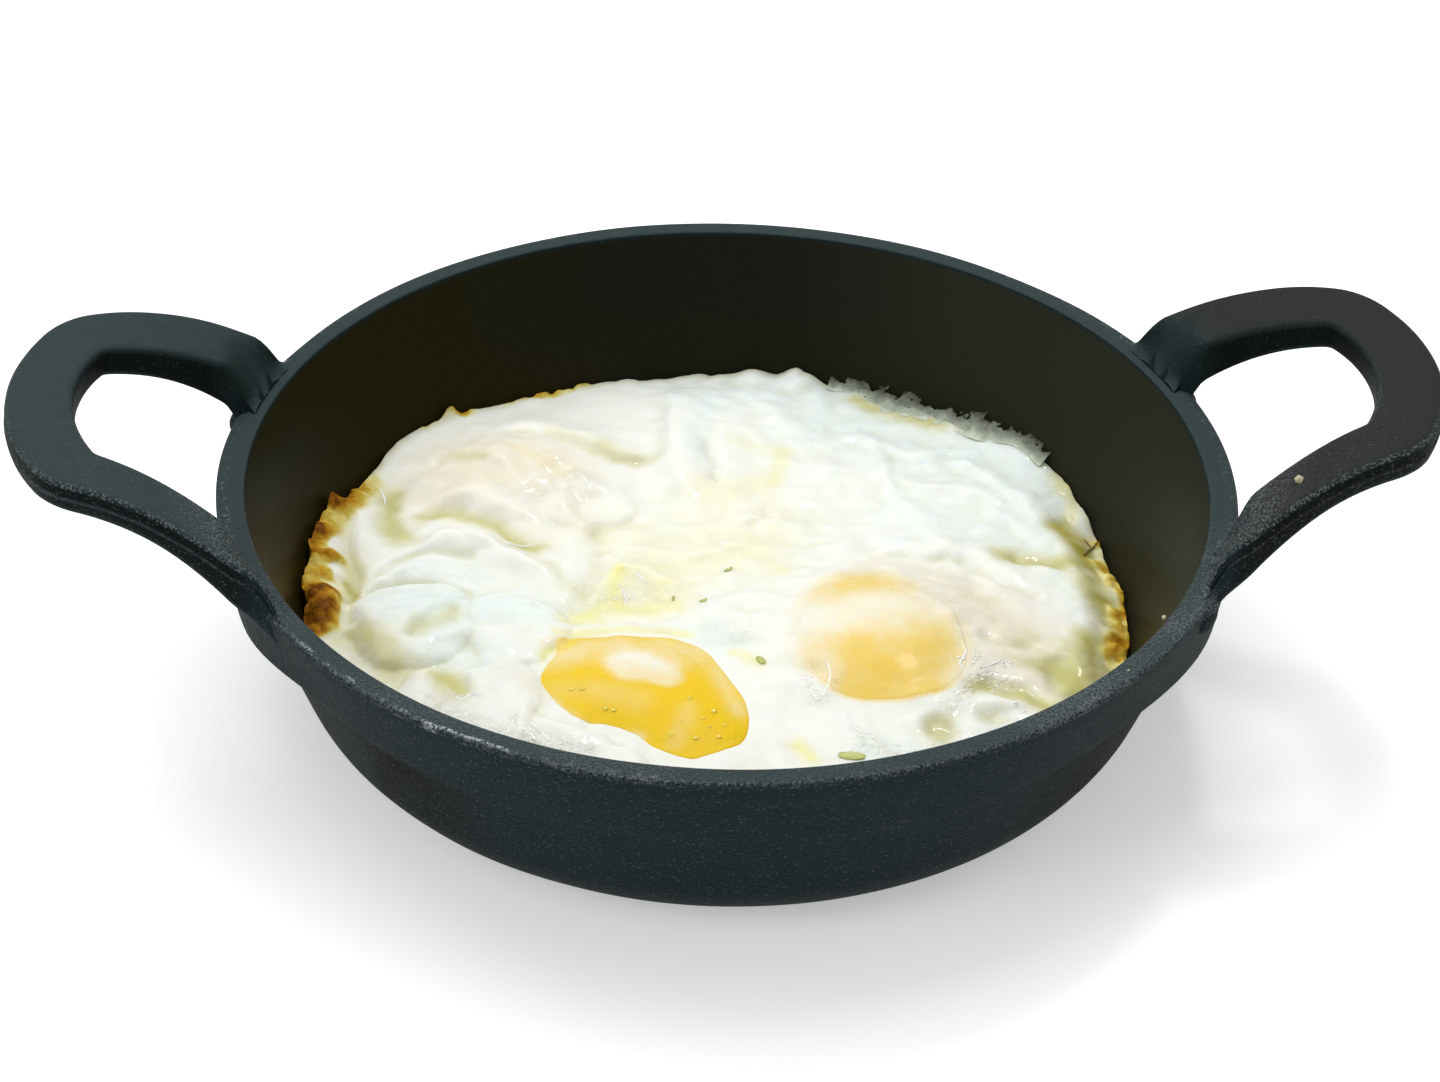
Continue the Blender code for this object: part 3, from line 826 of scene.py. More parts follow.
# Ridges, and furrows where the rise is below nought: points, rise, spread on the left, on the right
FOLDS = (
    # round the back left yolk
    (((-63.5, 43.6), (-65.9, 30.9), (-66.5, 22.7), (-63.2, 14.0)), 1.5, 3.0, 1.8),
    (((-50.4, 43.6), (-44.7, 44.0), (-40.1, 41.5), (-36.6, 35.9), (-33.1, 31.0)), 0.8, 2.4, 1.8),
    (((-50.6, 34.2), (-43.2, 32.9), (-35.8, 31.3)), 0.6, 1.8, 2.4),
    (((-41.1, 53.9), (-33.2, 51.1), (-24.9, 47.3), (-16.6, 43.5), (-8.2, 41.4)), -0.8, 1.4, 2.8),
    (((-41.1, 56.9), (-33.2, 54.1), (-24.9, 50.3), (-16.6, 46.0), (-8.2, 43.8)), 0.7, 4.0, 1.6),
    (((-59.5, 37.5), (-60.6, 28.4), (-58.6, 19.5)), -0.7, 2.4, 2.2),
    (
        ((-64.5, 46.0), (-67.4, 34.0), (-67.8, 20.0), (-66.8, 9.0), (-68.8, 0.0), (-68.2, -10.0)),
        -1.6, 1.6, 1.6,
    ),
    # the left lobes
    (((-54.1, 28.4), (-48.9, 31.2), (-43.3, 30.2), (-36.1, 26.4), (-28.5, 21.8)), 1.2, 4.0, 2.2),
    (((-54.9, 24.5), (-48.9, 27.2), (-43.5, 24.7), (-38.1, 20.4), (-31.8, 16.9)), -0.9, 2.2, 2.2),
    (((-56.9, 14.3), (-51.0, 18.6), (-44.6, 18.0), (-36.6, 12.4), (-29.1, 7.6)), 1.6, 1.6, 3.2),
    (((-64.3, 7.6), (-59.3, 12.1), (-52.9, 14.8), (-43.8, 13.7)), -0.9, 1.0, 1.2),
    (((-65.7, 4.9), (-58.5, 8.4), (-53.1, 9.7), (-45.0, 6.2)), 1.0, 2.0, 1.4),
    (((-65.7, 2.4), (-58.5, 5.2), (-53.1, 5.7), (-45.0, 1.2)), -1.2, 1.0, 1.0),
    # the middle
    (((-32.7, -3.4), (-27.7, 0.1), (-24.1, 6.3), (-21.8, 15.8), (-22.7, 27.4)), -1.1, 2.2, 2.6),
    (((-27.0, -1.0), (-22.0, 5.0), (-18.0, 9.0), (-12.0, 8.0), (-8.0, 2.0)), 0.6, 1.4, 1.2),
    (((-20.0, 16.0), (-9.0, 13.5), (3.0, 15.0), (14.0, 12.0)), 0.5, 1.8, 1.2),
    (((-16.0, 24.0), (-4.0, 21.0), (8.0, 23.0), (20.0, 19.5)), 0.5, 2.0, 1.2),
    # the billows at the back
    (((-1.0, 22.0), (-6.5, 38.0), (-6.0, 54.0), (-3.5, 74.0)), 1.6, 2.0, 7.0),
    (((0.5, 34.0), (0.8, 42.0), (0.4, 50.0)), -0.6, 1.3, 1.4),
    (((2.0, 38.0), (3.4, 46.0), (4.6, 54.2), (3.2, 62.9)), 0.5, 1.6, 3.6),
    (((7.5, 71.5), (12.0, 60.0), (19.0, 50.0)), 0.6, 2.8, 2.2),
    # the wavy sheet at the back right
    (((24.0, 52.9), (31.2, 48.4), (36.7, 45.3), (40.8, 40.0)), 0.9, 2.8, 1.8),
    (((40.9, 16.5), (36.3, 24.9), (33.7, 31.8), (34.6, 43.7)), 0.65, 1.9, 2.6),
    (((39.6, 20.8), (41.5, 13.2), (44.5, 7.5)), 0.6, 2.2, 1.8),
    (((45.9, 43.2), (51.7, 36.1), (57.2, 27.4), (60.6, 17.2)), 0.9, 2.4, 1.9),
    (((35.2, 32.4), (42.7, 31.4), (49.1, 30.4), (53.1, 24.2), (58.0, 19.0)), 0.7, 2.4, 1.6),
    # the veil over the right yolk, and the lap of white behind it
    (((27.0, 13.6), (38.3, 13.2), (45.7, 11.5), (51.6, 6.4), (60.6, 0.5)), 0.8, 4.0, 2.0),
    (((29.2, 10.6), (38.3, 10.2), (43.7, 9.0), (48.6, 3.9), (53.5, -0.7), (58.6, -3.5)), -0.6, 1.0, 1.2),
    (((52.2, 9.9), (58.6, 9.0), (64.7, 6.8)), -1.0, 1.4, 1.4),
    (((43.0, -16.0), (50.0, -19.0), (56.0, -17.0)), -0.7, 1.6, 1.6),
    (((41.2, -30.6), (46.2, -30.3), (51.2, -32.6), (56.3, -37.3)), -0.7, 1.6, 1.8),
    (((39.0, -34.0), (46.0, -34.5), (52.0, -37.5)), 0.8, 1.2, 2.0),
)

# Lobes: outline, rise, width of the round edge
LOBES = (
    (
        ((-65.0, -18.5), (-55.0, -21.6), (-47.5, -14.8), (-46.1, -2.9), (-53.1, 4.0), (-63.0, 2.0),
         (-68.0, -7.2)),
        2.0, 6.0,
    ),
    (
        ((-44.1, -21.5), (-35.3, -20.4), (-28.3, -12.0), (-30.0, -4.2), (-35.2, 0.7), (-42.6, 1.4),
         (-47.6, -5.9)),
        1.5, 5.0,
    ),
    (
        ((-51.0, -42.0), (-38.0, -46.0), (-35.5, -33.0), (-37.0, -22.0), (-47.0, -23.0), (-57.5, -24.0),
         (-60.0, -33.0)),
        1.2, 4.0,
    ),
    (
        ((-36.0, -48.0), (-24.0, -54.0), (-18.0, -50.0), (-23.0, -44.5), (-32.0, -39.5), (-38.0, -36.0)),
        1.2, 2.6,
    ),
    (((-5.0, -13.0), (0.0, -16.0), (4.0, -11.0), (1.0, -5.0), (-4.0, -5.0)), 0.5, 3.5),
    (
        ((-31.0, 24.0), (-22.0, 22.0), (-14.0, 27.0), (-17.0, 34.0), (-25.0, 36.0), (-30.5, 32.0)),
        0.8, 4.0,
    ),
)

# Pockets of clear, barely set white: outline, depth
POCKETS = (
    (((-57.9, -14.0), (-50.0, -13.6), (-46.6, -9.4), (-48.1, -4.9), (-53.5, -7.5)), 1.0),
    (((-54.6, -29.2), (-49.6, -33.6), (-46.5, -29.5), (-47.9, -24.1), (-52.0, -23.9)), 1.0),
    (((32.4, -42.3), (34.8, -45.2), (37.6, -42.9), (35.8, -39.4), (33.2, -39.6)), 0.9),
    (((42.0, -40.0), (46.8, -40.9), (47.4, -38.0), (42.8, -37.6)), 0.5),
    (((54.4, -26.4), (57.6, -33.0), (62.4, -28.2), (59.2, -20.8)), 0.8),
)


# Shifts by noise, a wide one and a fine one: length, size of its lumps, seeds for x and y
WANDER = ((1.6, 11.0, (71.0, 79.0)), (0.25, 4.0, (73.0, 83.0)))
RIGHT_YOLK_MOUND = (27.5, -15.5, 19.5, 19.0, 5.2)
RIGHT_YOLK_FULLNESS = 1.35


def mound(x, y, shape, fullness=1.0):
    """Return the height of a mound: its middle, spread and rise; a fuller one is flatter on top."""
    middle_x, middle_y, spread_x, spread_y, rise = shape
    reach = ((x - middle_x) / spread_x) ** 2 + ((y - middle_y) / spread_y) ** 2
    return rise * np.exp(-(reach**fullness))


def wander(x, y):
    """Return places shifted a little, so that no lobe or fold has a drawn outline."""
    shift_x, shift_y = (
        sum(length * spread_noise(x, y, size, size, seeds[axis]) for length, size, seeds in WANDER)
        for axis in (0, 1)
    )
    return x + shift_x, y + shift_y


# Where the white's edge meets the wall: degrees round the pan, height
EDGE_LEVELS = (
    (-180, 19.6), (-150, 17.0), (-120, 15.5), (-90, 15.0), (-45, 14.0), (-20, 13.2), (0, 12.8), (12, 13.2),
    (22, 15.0), (31, 18.0), (38, 19.2), (50, 18.4), (62, 17.2), (69, 17.4), (75, 18.8), (78, 17.9),
    (81, 18.2), (86, 17.3), (104, 17.4), (112, 17.2), (122, 18.6), (136, 20.3), (146, 19.1), (151, 18.2),
    (157, 20.4), (170, 19.9), (180, 19.6),
)
LACE_TURNS = (36.0, 66.0)
LACE_FADE = 7.0
# The edge's waves all round, and more of them at the left: height, count, start
EDGE_WAVES = ((0.30, 13, 2.0), (0.25, 29, 0.0))
LEFT_EDGE_WAVES = ((0.35, 41, 1.0), (0.25, 67, 0.0))
EDGE_DRAW_IN = 0.35
LACE_DRAW_IN = 4.0
RIGHT_DRAW_IN = 0.2
CORNER_DRAW_IN = 0.16
CORNER_DRAW_IN_POWER = 1.5
# Stretches of the edge, in degrees: middle and reach to each side, over which each fades out
RIGHT_STRETCH = (-8.0, 16.0)
LEFT_STRETCH = (168.0, 20.0)
STRETCH_SPAN = 1.6


def edge_level(angle):
    """Return the height of the white's outer edge at an angle, in millimetres."""
    turns, levels = zip(*EDGE_LEVELS)
    return np.interp(np.degrees(angle), turns, levels)


def waves(angle, table):
    """Return the height, at an angle, of a table's waves added together."""
    return sum(height * np.sin(count * angle + start) for height, count, start in table)


def stretch_share(turn, stretch):
    """Return how fully turns lie within a stretch of the edge, from 0 to 1."""
    middle, reach = stretch
    return smooth_step(STRETCH_SPAN - np.abs(turn - middle) / reach)


def edge_radius(angle):
    """Return how far the white reaches from the middle, in millimetres, at an angle."""
    arc_top = FLOOR_HEIGHT / MM + HOLLOW_EDGE_RADIUS / MM * (1.0 - SIN_DRAFT)
    level = edge_level(angle)
    wall = HOLLOW_TOP_RADIUS / MM - (RIM_HEIGHT / MM - level) * TAN_DRAFT
    wall -= CORNER_DRAW_IN * np.clip(arc_top - level, 0.0, None) ** CORNER_DRAW_IN_POWER
    turn = np.degrees(angle)
    lace = smooth_step((turn - LACE_TURNS[0]) / LACE_FADE)
    lace = lace * smooth_step((LACE_TURNS[1] - turn) / LACE_FADE)
    right = stretch_share(turn, RIGHT_STRETCH)
    left = stretch_share(np.abs(turn), LEFT_STRETCH)
    wavering = waves(angle, EDGE_WAVES) + left * waves(angle, LEFT_EDGE_WAVES)
    reach = wall - WALL_GAP - EDGE_DRAW_IN - LACE_DRAW_IN * lace - RIGHT_DRAW_IN * right + wavering
    return np.minimum(reach, wall - WALL_GAP)


LOBE_LAP = 0.1
FOLD_TAPER = 2.0
POCKET_EASE = 3.0
WALL_EASE = 9.0


def ground(x, y):
    """Return the height of the cooked surface at places on it, in millimetres."""
    radius = np.hypot(x, y)
    angle = np.arctan2(y, x)
    inward = edge_radius(angle) - radius
    height = np.full(x.shape, WHITE_LEVEL) + mound(x, y, RIGHT_YOLK_MOUND, RIGHT_YOLK_FULLNESS)
    for hump in HUMPS:
        height += mound(x, y, hump)
    lap_x, lap_y = wander(x, y)
    for outline, rise, width in LOBES:
        height += rise * pillow(depth_inside(outline, lap_x, lap_y) + width * LOBE_LAP, width)
    for points, rise, left_spread, right_spread in FOLDS:
        gap = line_gap(points, lap_x, lap_y)
        ends = [np.hypot(lap_x - end_x, lap_y - end_y) for end_x, end_y in (points[0], points[-1])]
        taper = smooth_step(np.minimum(*ends) / (FOLD_TAPER * max(left_spread, right_spread)))
        height += rise * taper * np.where(gap > 0.0, bell(gap, left_spread), bell(gap, right_spread))
    for outline, depth in POCKETS:
        height -= depth * smooth_step(depth_inside(outline, lap_x, lap_y) / POCKET_EASE + 0.5)
    clear_of_wall = smooth_step(inward / WALL_EASE)
    return edge_level(angle) + (height - edge_level(angle)) * clear_of_wall


# Small unevenness: billows, and rounded puffs over them, as noise and height
BILLOWS = ((17.0, 13.0, 3.0), 0.6)
PUFFS = (((9.0, 8.0, 11.0, 2), 0.9), ((4.2, 3.8, 17.0, 1), 0.15))
PUFF_ROUNDING = 0.03
CALM_PATCH = (-24.0, 60.0, 24.0, 11.0, 0.8)


def wavy(x, y):
    """Return the small unevenness of the cooked surface, calmer in one patch at the back left."""
    layout, rise = BILLOWS
    height = rise * spread_noise(x, y, *layout)
    for layout, rise in PUFFS:
        height = height + rise * np.sqrt(spread_noise(x, y, *layout) ** 2 + PUFF_ROUNDING)
    return (1.0 - mound(x, y, CALM_PATCH)) * height


# Stains in the set white, by kind: points, width and strength. One point makes a round stain, and a
# strength below nought leaves a place bare.
STAINS = {
    # butter and yolk that ran and set in the middle
    "butter": (
        (((-26.5, -4.4), (-22.5, -2.6)), 2.2, 0.65),
        (((-19.6, -2.6), (-14.0, -4.2)), 3.0, 0.62),
        (((-18.9, 8.0), (-19.4, 3.0), (-18.0, -2.0)), 1.7, 0.72),
        (((-11.0, 5.0), (-12.5, 0.0), (-9.5, -4.0)), 1.6, 0.30),
        (((-30.0, -6.0), (-23.0, -7.0)), 1.6, 0.40),
        (((-12.0, 9.0), (6.0, 12.0)), 7.0, 0.24),
        (((-18.0, 19.0), (12.0, 22.0)), 8.0, 0.17),
        (((12.2, 36.0), (15.0, 44.0)), 1.8, 0.40),
        (((6.5, 48.2), (13.0, 45.0)), 2.6, 0.20),
        (((-1.0, 32.0), (9.0, 34.0)), 4.0, 0.28),
        (((9.5, -45.3), (10.5, -49.6)), 1.8, 0.65),
        (((0.3, -19.7), (4.0, -23.5)), 1.2, 0.45),
        (((-33.6, -19.5), (-27.0, -14.5)), 1.1, 0.75),
        (((-31.0, -11.8), (-22.0, -10.6), (-14.0, -11.0), (-8.0, -12.6)), 1.5, 0.55),
        (((-25.0, -1.0), (-17.0, 4.0), (-9.0, 0.0)), 4.5, 0.34),
        (((10.6, 7.9),), 2.4, 0.25),
    ),
    # clear white, olive where the iron shows through it
    "clear": (
        (((-56.5, -12.2), (-51.5, -10.6), (-48.2, -7.6)), 2.1, 0.55),
        (((-51.5, -26.2), (-49.6, -30.6)), 3.3, 0.95),
        (((-59.4, 34.0), (-60.4, 27.4), (-58.6, 19.5)), 2.5, 0.85),
        (((-54.0, 25.2), (-48.9, 26.6), (-43.5, 24.2), (-38.1, 20.2), (-32.8, 17.2)), 1.8, 0.80),
        (((-66.5, -12.0), (-64.1, -15.0), (-60.0, -22.0)), 4.2, 0.75),
        (((-66.5, 14.0), (-68.0, 4.0)), 2.6, 0.55),
        (((34.0, -43.4), (35.6, -41.0)), 2.6, 0.75),
        (((41.4, -31.2), (46.2, -31.4), (51.2, -33.4), (55.0, -37.0)), 2.1, 0.95),
        (((43.0, -39.2), (46.6, -39.6)), 1.5, 0.40),
        (((56.6, -24.5), (59.6, -28.5)), 4.0, 0.95),
        (((60.0, -33.0), (62.0, -20.0), (63.6, -15.9)), 4.0, 0.85),
        (((68.4, -4.0), (67.6, 4.0)), 3.6, 0.85),
        (((71.6, 1.9), (72.6, -1.0)), 2.2, 0.45),
        (((67.0, 38.0), (67.8, 34.0)), 2.8, 0.85),
        (((67.4, 31.0), (65.6, 24.0), (64.6, 19.0)), 1.8, 0.75),
        (((52.2, 9.6), (58.6, 9.0), (65.0, 9.0)), 2.4, 0.85),
        (((66.4, 19.0), (67.6, 12.0)), 2.4, 0.75),
        (((51.4, -17.5), (54.0, -15.0)), 1.8, 0.40),
        (((30.0, 65.0), (35.0, 61.5), (40.0, 57.4), (45.3, 54.3)), 2.8, 0.85),
        (((-46.6, 43.3), (-42.9, 42.1)), 1.5, 0.45),
        (((-29.0, 50.6), (-18.0, 45.6), (-10.0, 42.8)), 1.6, 0.30),
        (((-20.0, 46.5), (-14.0, 42.0)), 2.2, 0.35),
        (((-28.5, 4.0), (-31.0, 11.0)), 1.8, 0.30),
    ),
    # white that fried olive and see-through
    "oily": (
        (((63.4, 19.6), (67.0, 18.6), (71.5, 19.2)), 2.3, 0.85),
        (((67.4, 14.6), (69.8, 9.5), (72.0, 6.0)), 3.2, 0.97),
        (((69.0, -1.4), (70.6, -7.0)), 2.6, 0.90),
        (((70.2, -9.6), (69.6, -13.0), (68.2, -18.0)), 3.4, 0.97),
        (((63.8, -16.2), (64.2, -22.6)), 0.8, 0.55),
        (((68.0, -20.0), (65.0, -25.0)), 2.4, 0.60),
        (((51.5, -24.6), (54.0, -25.4)), 1.8, 0.35),
        (((-68.6, 6.0), (-66.8, 3.4)), 1.5, 0.75),
        (((-66.2, 0.6), (-67.8, 2.0)), 1.4, 0.45),
        (((-66.0, 38.0), (-67.4, 34.0)), 1.4, 0.60),
    ),
    # white that set first, with a cool cast
    "cool": (
        (((-58.0, -4.0), (-36.0, -4.0)), 7.5, 0.70),
        (((-52.0, -17.0), (-40.0, -24.0)), 6.0, 0.55),
        (((-56.0, 10.0), (-44.0, 9.0)), 4.0, 0.45),
        (((-5.5, -12.5), (0.0, -16.0)), 4.0, 0.75),
        (((0.0, 66.0), (24.0, 66.0)), 9.0, 0.55),
        (((26.0, 55.0), (60.0, 36.0)), 13.0, 0.70),
        (((36.0, 22.0), (60.0, 16.0)), 10.0, 0.45),
        (((22.0, -47.0), (36.0, -49.0)), 4.0, 0.50),
        (((42.0, -44.0), (52.0, -42.0)), 4.0, 0.40),
        (((-36.0, -50.0), (-46.0, -44.0)), 5.0, 0.50),
        (((-2.0, 44.0), (1.0, 60.0)), 4.0, 0.45),
        (((62.0, 2.0), (64.0, -10.0)), 3.0, 0.45),
    ),
    # thin white over a yolk
    "blush": (
        (((-50.0, 36.0), (-40.0, 38.0), (-30.0, 38.0)), 9.0, 0.75),
        (((-48.0, 46.0), (-36.0, 48.0)), 5.0, 0.50),
        (((42.0, -6.0), (50.0, -14.0), (52.0, -24.0)), 9.0, 0.75),
        (((26.0, 6.0), (40.0, 4.0)), 4.5, 0.45),
        (((-40.0, -24.0), (-35.5, -30.0)), 3.5, 0.45),
        (((-36.0, 22.0), (-26.0, 24.0)), 5.0, 0.30),
    ),
    # yolk that shows through a skin of white
    "yolk": (
        (((-35.5, 44.5), (-31.0, 41.0), (-27.0, 37.0)), 3.4, 0.10),
        (((44.0, -5.0), (47.5, -6.0)), 3.0, 0.10),
        (((-32.6, -16.0), (-29.0, -14.0)), 1.2, 0.30),
    ),
    # white that fried golden and brown
    "crust": (
        (
            ((-66.4, 37.0), (-71.4, 29.0), (-74.4, 19.0), (-76.0, 9.0), (-75.6, 0.0), (-74.4, -8.0)),
            4.3, 0.88,
        ),
        (((-73.0, 27.6), (-69.2, 28.2), (-66.6, 33.2)), 2.4, 0.92),
        (((-73.4, 22.0), (-72.0, 19.6)), 2.2, 0.85),
        (((-76.4, 9.4), (-74.6, 12.2), (-70.0, 13.6)), 2.1, 0.90),
        (((-72.0, 8.4), (-73.4, 6.6)), 1.6, 0.70),
        (((-71.7, 1.6), (-72.1, -3.2), (-73.2, -9.6)), 3.1, 0.84),
        (((-70.0, 18.2),), 1.8, -1.0),
        (((-70.2, 9.4), (-69.2, 8.6)), 1.7, -0.95),
        (((-76.2, 2.6), (-72.6, 4.9), (-69.6, 2.2)), 0.9, -0.85),
        (((-67.4, -0.4), (-67.6, -6.0)), 2.2, -0.8),
        (((-71.4, -13.6), (-66.0, -21.0)), 3.2, -0.9),
        (((-75.0, -10.0), (-72.0, -20.0), (-66.0, -32.0)), 1.2, 0.45),
        (((-53.5, 56.4), (-49.0, 60.0), (-45.6, 61.6)), 2.0, 0.95),
        (((-41.0, 65.4), (-30.6, 70.0), (-20.0, 73.6)), 1.7, 0.80),
        (((-20.0, 74.0), (-8.0, 76.0)), 1.4, 0.60),
        (((69.6, 32.6), (72.2, 24.6), (74.2, 18.6), (74.2, 12.0), (74.2, 5.0)), 1.6, 0.95),
        (((74.2, 5.0), (74.0, -3.0), (73.6, -9.0), (72.0, -17.0)), 1.7, 0.98),
        (((71.6, 19.4), (73.4, 18.6)), 1.4, 0.85),
        (((72.6, -13.0), (71.8, -15.0)), 1.4, 0.95),
        (((70.4, 12.0), (72.0, 5.6)), 1.5, 0.60),
        (((70.6, -4.0), (70.2, -12.0)), 1.9, 0.62),
        (((68.8, -13.6), (67.6, -19.0)), 1.8, 0.60),
        (((71.8, 15.9),), 1.3, -0.9),
        (((72.0, -20.0), (66.0, -34.0), (54.0, -50.0)), 1.2, 0.60),
        (((-60.0, -44.0), (-48.0, -57.0), (-30.0, -67.0)), 1.3, 0.50),
        (((30.0, -68.0), (44.0, -60.0)), 1.3, 0.55),
    ),
    # film that wrinkled as it dried
    "film": (
        (((38.3, -36.2), (40.5, -29.0), (44.0, -27.4), (46.5, -30.0)), 2.4, 0.8),
        (((21.0, -45.5), (26.0, -50.3), (31.8, -47.6)), 2.6, 0.9),
        (((-54.0, -33.5), (-45.6, -41.6), (-35.3, -44.5), (-29.2, -48.1)), 3.0, 0.9),
        (((12.0, -27.1), (13.8, -34.0), (17.2, -27.4)), 1.6, 0.5),
        (((40.0, 2.0), (52.0, -8.0), (54.0, -20.0)), 6.0, 0.18),
        (((-24.0, 0.0), (-14.0, 2.0)), 4.5, 0.60),
        (((-3.0, -12.0), (2.0, -15.0)), 3.0, 0.60),
        (((24.0, 52.0), (44.0, 38.0), (54.0, 24.0)), 9.0, 0.20),
        (((-34.0, 30.0), (-24.0, 34.0)), 3.0, 0.50),
        (((34.0, -46.0), (48.0, -40.0)), 3.0, 0.50),
    ),
}


def stain_share(kind, x, y):
    """Return how strongly one kind of stain shows at each place, from 0 to 1."""
    x, y = wander(x, y)
    bare = np.ones(x.shape)
    for points, width, strength in STAINS[kind]:
        if len(points) == 1:
            gap = np.hypot(x - points[0][0], y - points[0][1])
        else:
            gap = line_gap(points, x, y)
        bare *= 1.0 - strength * bell(gap, width)
    return np.clip(1.0 - bare, 0.0, 1.0)


CRISP_EDGE_WIDTH = 7.5


def rim_share(x, y):
    """Return how near a place is to the sheet's crisp outer edge, from 0 to 1."""
    inward = edge_radius(np.arctan2(y, x)) - np.hypot(x, y)
    return smooth_step(1.0 - inward / CRISP_EDGE_WIDTH)


# Blisters blown up by the steam beneath: middle x and y, spread x and y, rise
BLISTERS = (
    (-71.8, -2.6, 3.4, 6.4, 2.4),
    (-69.4, 28.4, 3.0, 2.2, 1.6),
    (-72.8, 25.2, 1.9, 1.8, 1.3),
    (-73.0, 20.4, 2.2, 2.2, 1.4),
    (-75.4, 15.4, 1.7, 1.7, 1.1),
    (-70.4, 13.6, 2.4, 1.6, 1.3),
    (-74.8, 11.4, 2.0, 1.8, 1.3),
    (-76.2, 8.0, 1.6, 1.6, 1.2),
    (-73.2, 7.6, 1.7, 1.5, 1.0),
    (-70.2, 9.2, 1.7, 1.5, 0.7),
    (-75.4, 4.4, 1.6, 1.4, 1.0),
    (-49.2, 60.0, 2.6, 2.2, 2.4),
    (20.0, 72.0, 3.6, 3.0, 1.0),
    (10.5, 73.2, 3.0, 2.6, 0.8),
    (68.4, 37.0, 2.2, 3.6, 0.8),
    (68.9, 25.4, 2.6, 3.8, 1.5),
    (71.6, 16.0, 1.4, 1.3, 0.8),
    (69.4, 11.4, 1.7, 1.6, 0.9),
    (71.8, 7.8, 1.6, 1.7, 1.0),
    (71.6, 2.2, 1.7, 2.4, 1.0),
    (70.8, -3.2, 1.5, 1.6, 0.8),
    (70.6, -7.4, 1.6, 1.6, 0.9),
    (69.0, -11.0, 1.5, 1.5, 0.9),
    (70.4, -14.4, 1.5, 1.6, 0.9),
    (67.8, -16.6, 1.4, 1.5, 0.8),
)


BLISTER_FULLNESS = 1.6
BLISTER_SIZE = 3.4
BLISTER_SHARE = 0.62
BLISTER_SEED = 5.0
EDGE_BLISTER_RISE = 0.8
# Its share on plain white, and what crust adds
EDGE_BLISTER_SHARES = (0.2, 1.3)
FINE_BLISTER_RISE = 0.34
FINE_BLISTER_SCALE = 1.9
FINE_BLISTER_GAIN = 1.6
CRUST_CALM = 0.6
CRINKLES = (1.7, 1.3, 57.0, 2)
CRINKLE_RISE = 0.22
CRINKLE_SHARPNESS = 4.0


def blisters(x, y):
    """Return the height of the round blisters in fried white, from 0 to 1."""
    values = np.empty(x.shape)
    for index, (place_x, place_y) in enumerate(zip(x / BLISTER_SIZE, y / BLISTER_SIZE)):
        values[index] = noise.voronoi((place_x, place_y, BLISTER_SEED))[0][0]
    return np.sqrt(np.clip(1.0 - (values / BLISTER_SHARE) ** 2, 0.0, 1.0))


def hollow_radius(level):
    """Return the pan's inner radius at a height, in millimetres."""
    arc_centre = edge_centre(HOLLOW_TOP_RADIUS, FLOOR_HEIGHT, HOLLOW_EDGE_RADIUS) / MM
    arc_radius = HOLLOW_EDGE_RADIUS / MM
    drop = FLOOR_HEIGHT / MM + arc_radius - level
    if drop < arc_radius * SIN_DRAFT:
        return HOLLOW_TOP_RADIUS / MM - (RIM_HEIGHT / MM - level) * TAN_DRAFT
    return arc_centre + math.sqrt(max(0.0, arc_radius**2 - drop**2))


def round_sheet(cells):
    """Return a flat round sheet of near-square cells, one unit in radius."""
    bm = bmesh.new()
    bmesh.ops.create_grid(bm, x_segments=cells, y_segments=cells, size=1.0)
    for point in bm.verts:
        across, along = point.co.x, point.co.y
        if abs(across) > abs(along):
            reach, turn = across, math.pi / 4 * along / across
        else:
            reach, turn = along, math.pi / 2 - math.pi / 4 * across / (along or 1.0)
        point.co = (reach * math.cos(turn), reach * math.sin(turn), 0.0)
    return bm


def open_edges(bm):
    """Return the edges that have a face on one side only."""
    return [edge for edge in bm.edges if edge.is_boundary]


def grown_edge(bm):
    """Grow a row of faces from a sheet's open edge and return the row's new points."""
    grown = bmesh.ops.extrude_edge_only(bm, edges=open_edges(bm))["geom"]
    return [item for item in grown if isinstance(item, bmesh.types.BMVert)]


def close_edge(bm):
    """Close a sheet's open edge with one face and turn every face outward."""
    bmesh.ops.contextual_create(bm, geom=open_edges(bm))
    bmesh.ops.recalc_face_normals(bm, faces=bm.faces)


def places(bm):
    """Return the points' x and y, in millimetres."""
    spots = np.array([point.co for point in bm.verts])
    return spots[:, 0] / MM, spots[:, 1] / MM


def stain_mesh(bm, shares):
    """Keep stains on a bmesh as one value a point for each kind."""
    for kind, values in shares.items():
        layer = bm.verts.layers.float.new(kind)
        for point, value in zip(bm.verts, values):
            point[layer] = float(value)


def cooked_height(x, y):
    """Return the finished height of the white at each place, in millimetres."""
    crust = stain_share("crust", x, y)
    film = stain_share("film", x, y)
    crinkle = np.abs(spread_noise(x, y, *CRINKLES))
    plain_share, crust_share = EDGE_BLISTER_SHARES
    height = ground(x, y) + wavy(x, y) * (1.0 - CRUST_CALM * crust)
    for blister in BLISTERS:
        height += mound(x, y, blister, BLISTER_FULLNESS)
    height += EDGE_BLISTER_RISE * rim_share(x, y) * (plain_share + crust_share * crust) * blisters(x, y)
    fine = blisters(FINE_BLISTER_SCALE * x, FINE_BLISTER_SCALE * y)
    height += FINE_BLISTER_RISE * smooth_step(FINE_BLISTER_GAIN * crust) * fine
    return height + CRINKLE_RISE * film * smooth_step(1.0 - crinkle * CRINKLE_SHARPNESS)


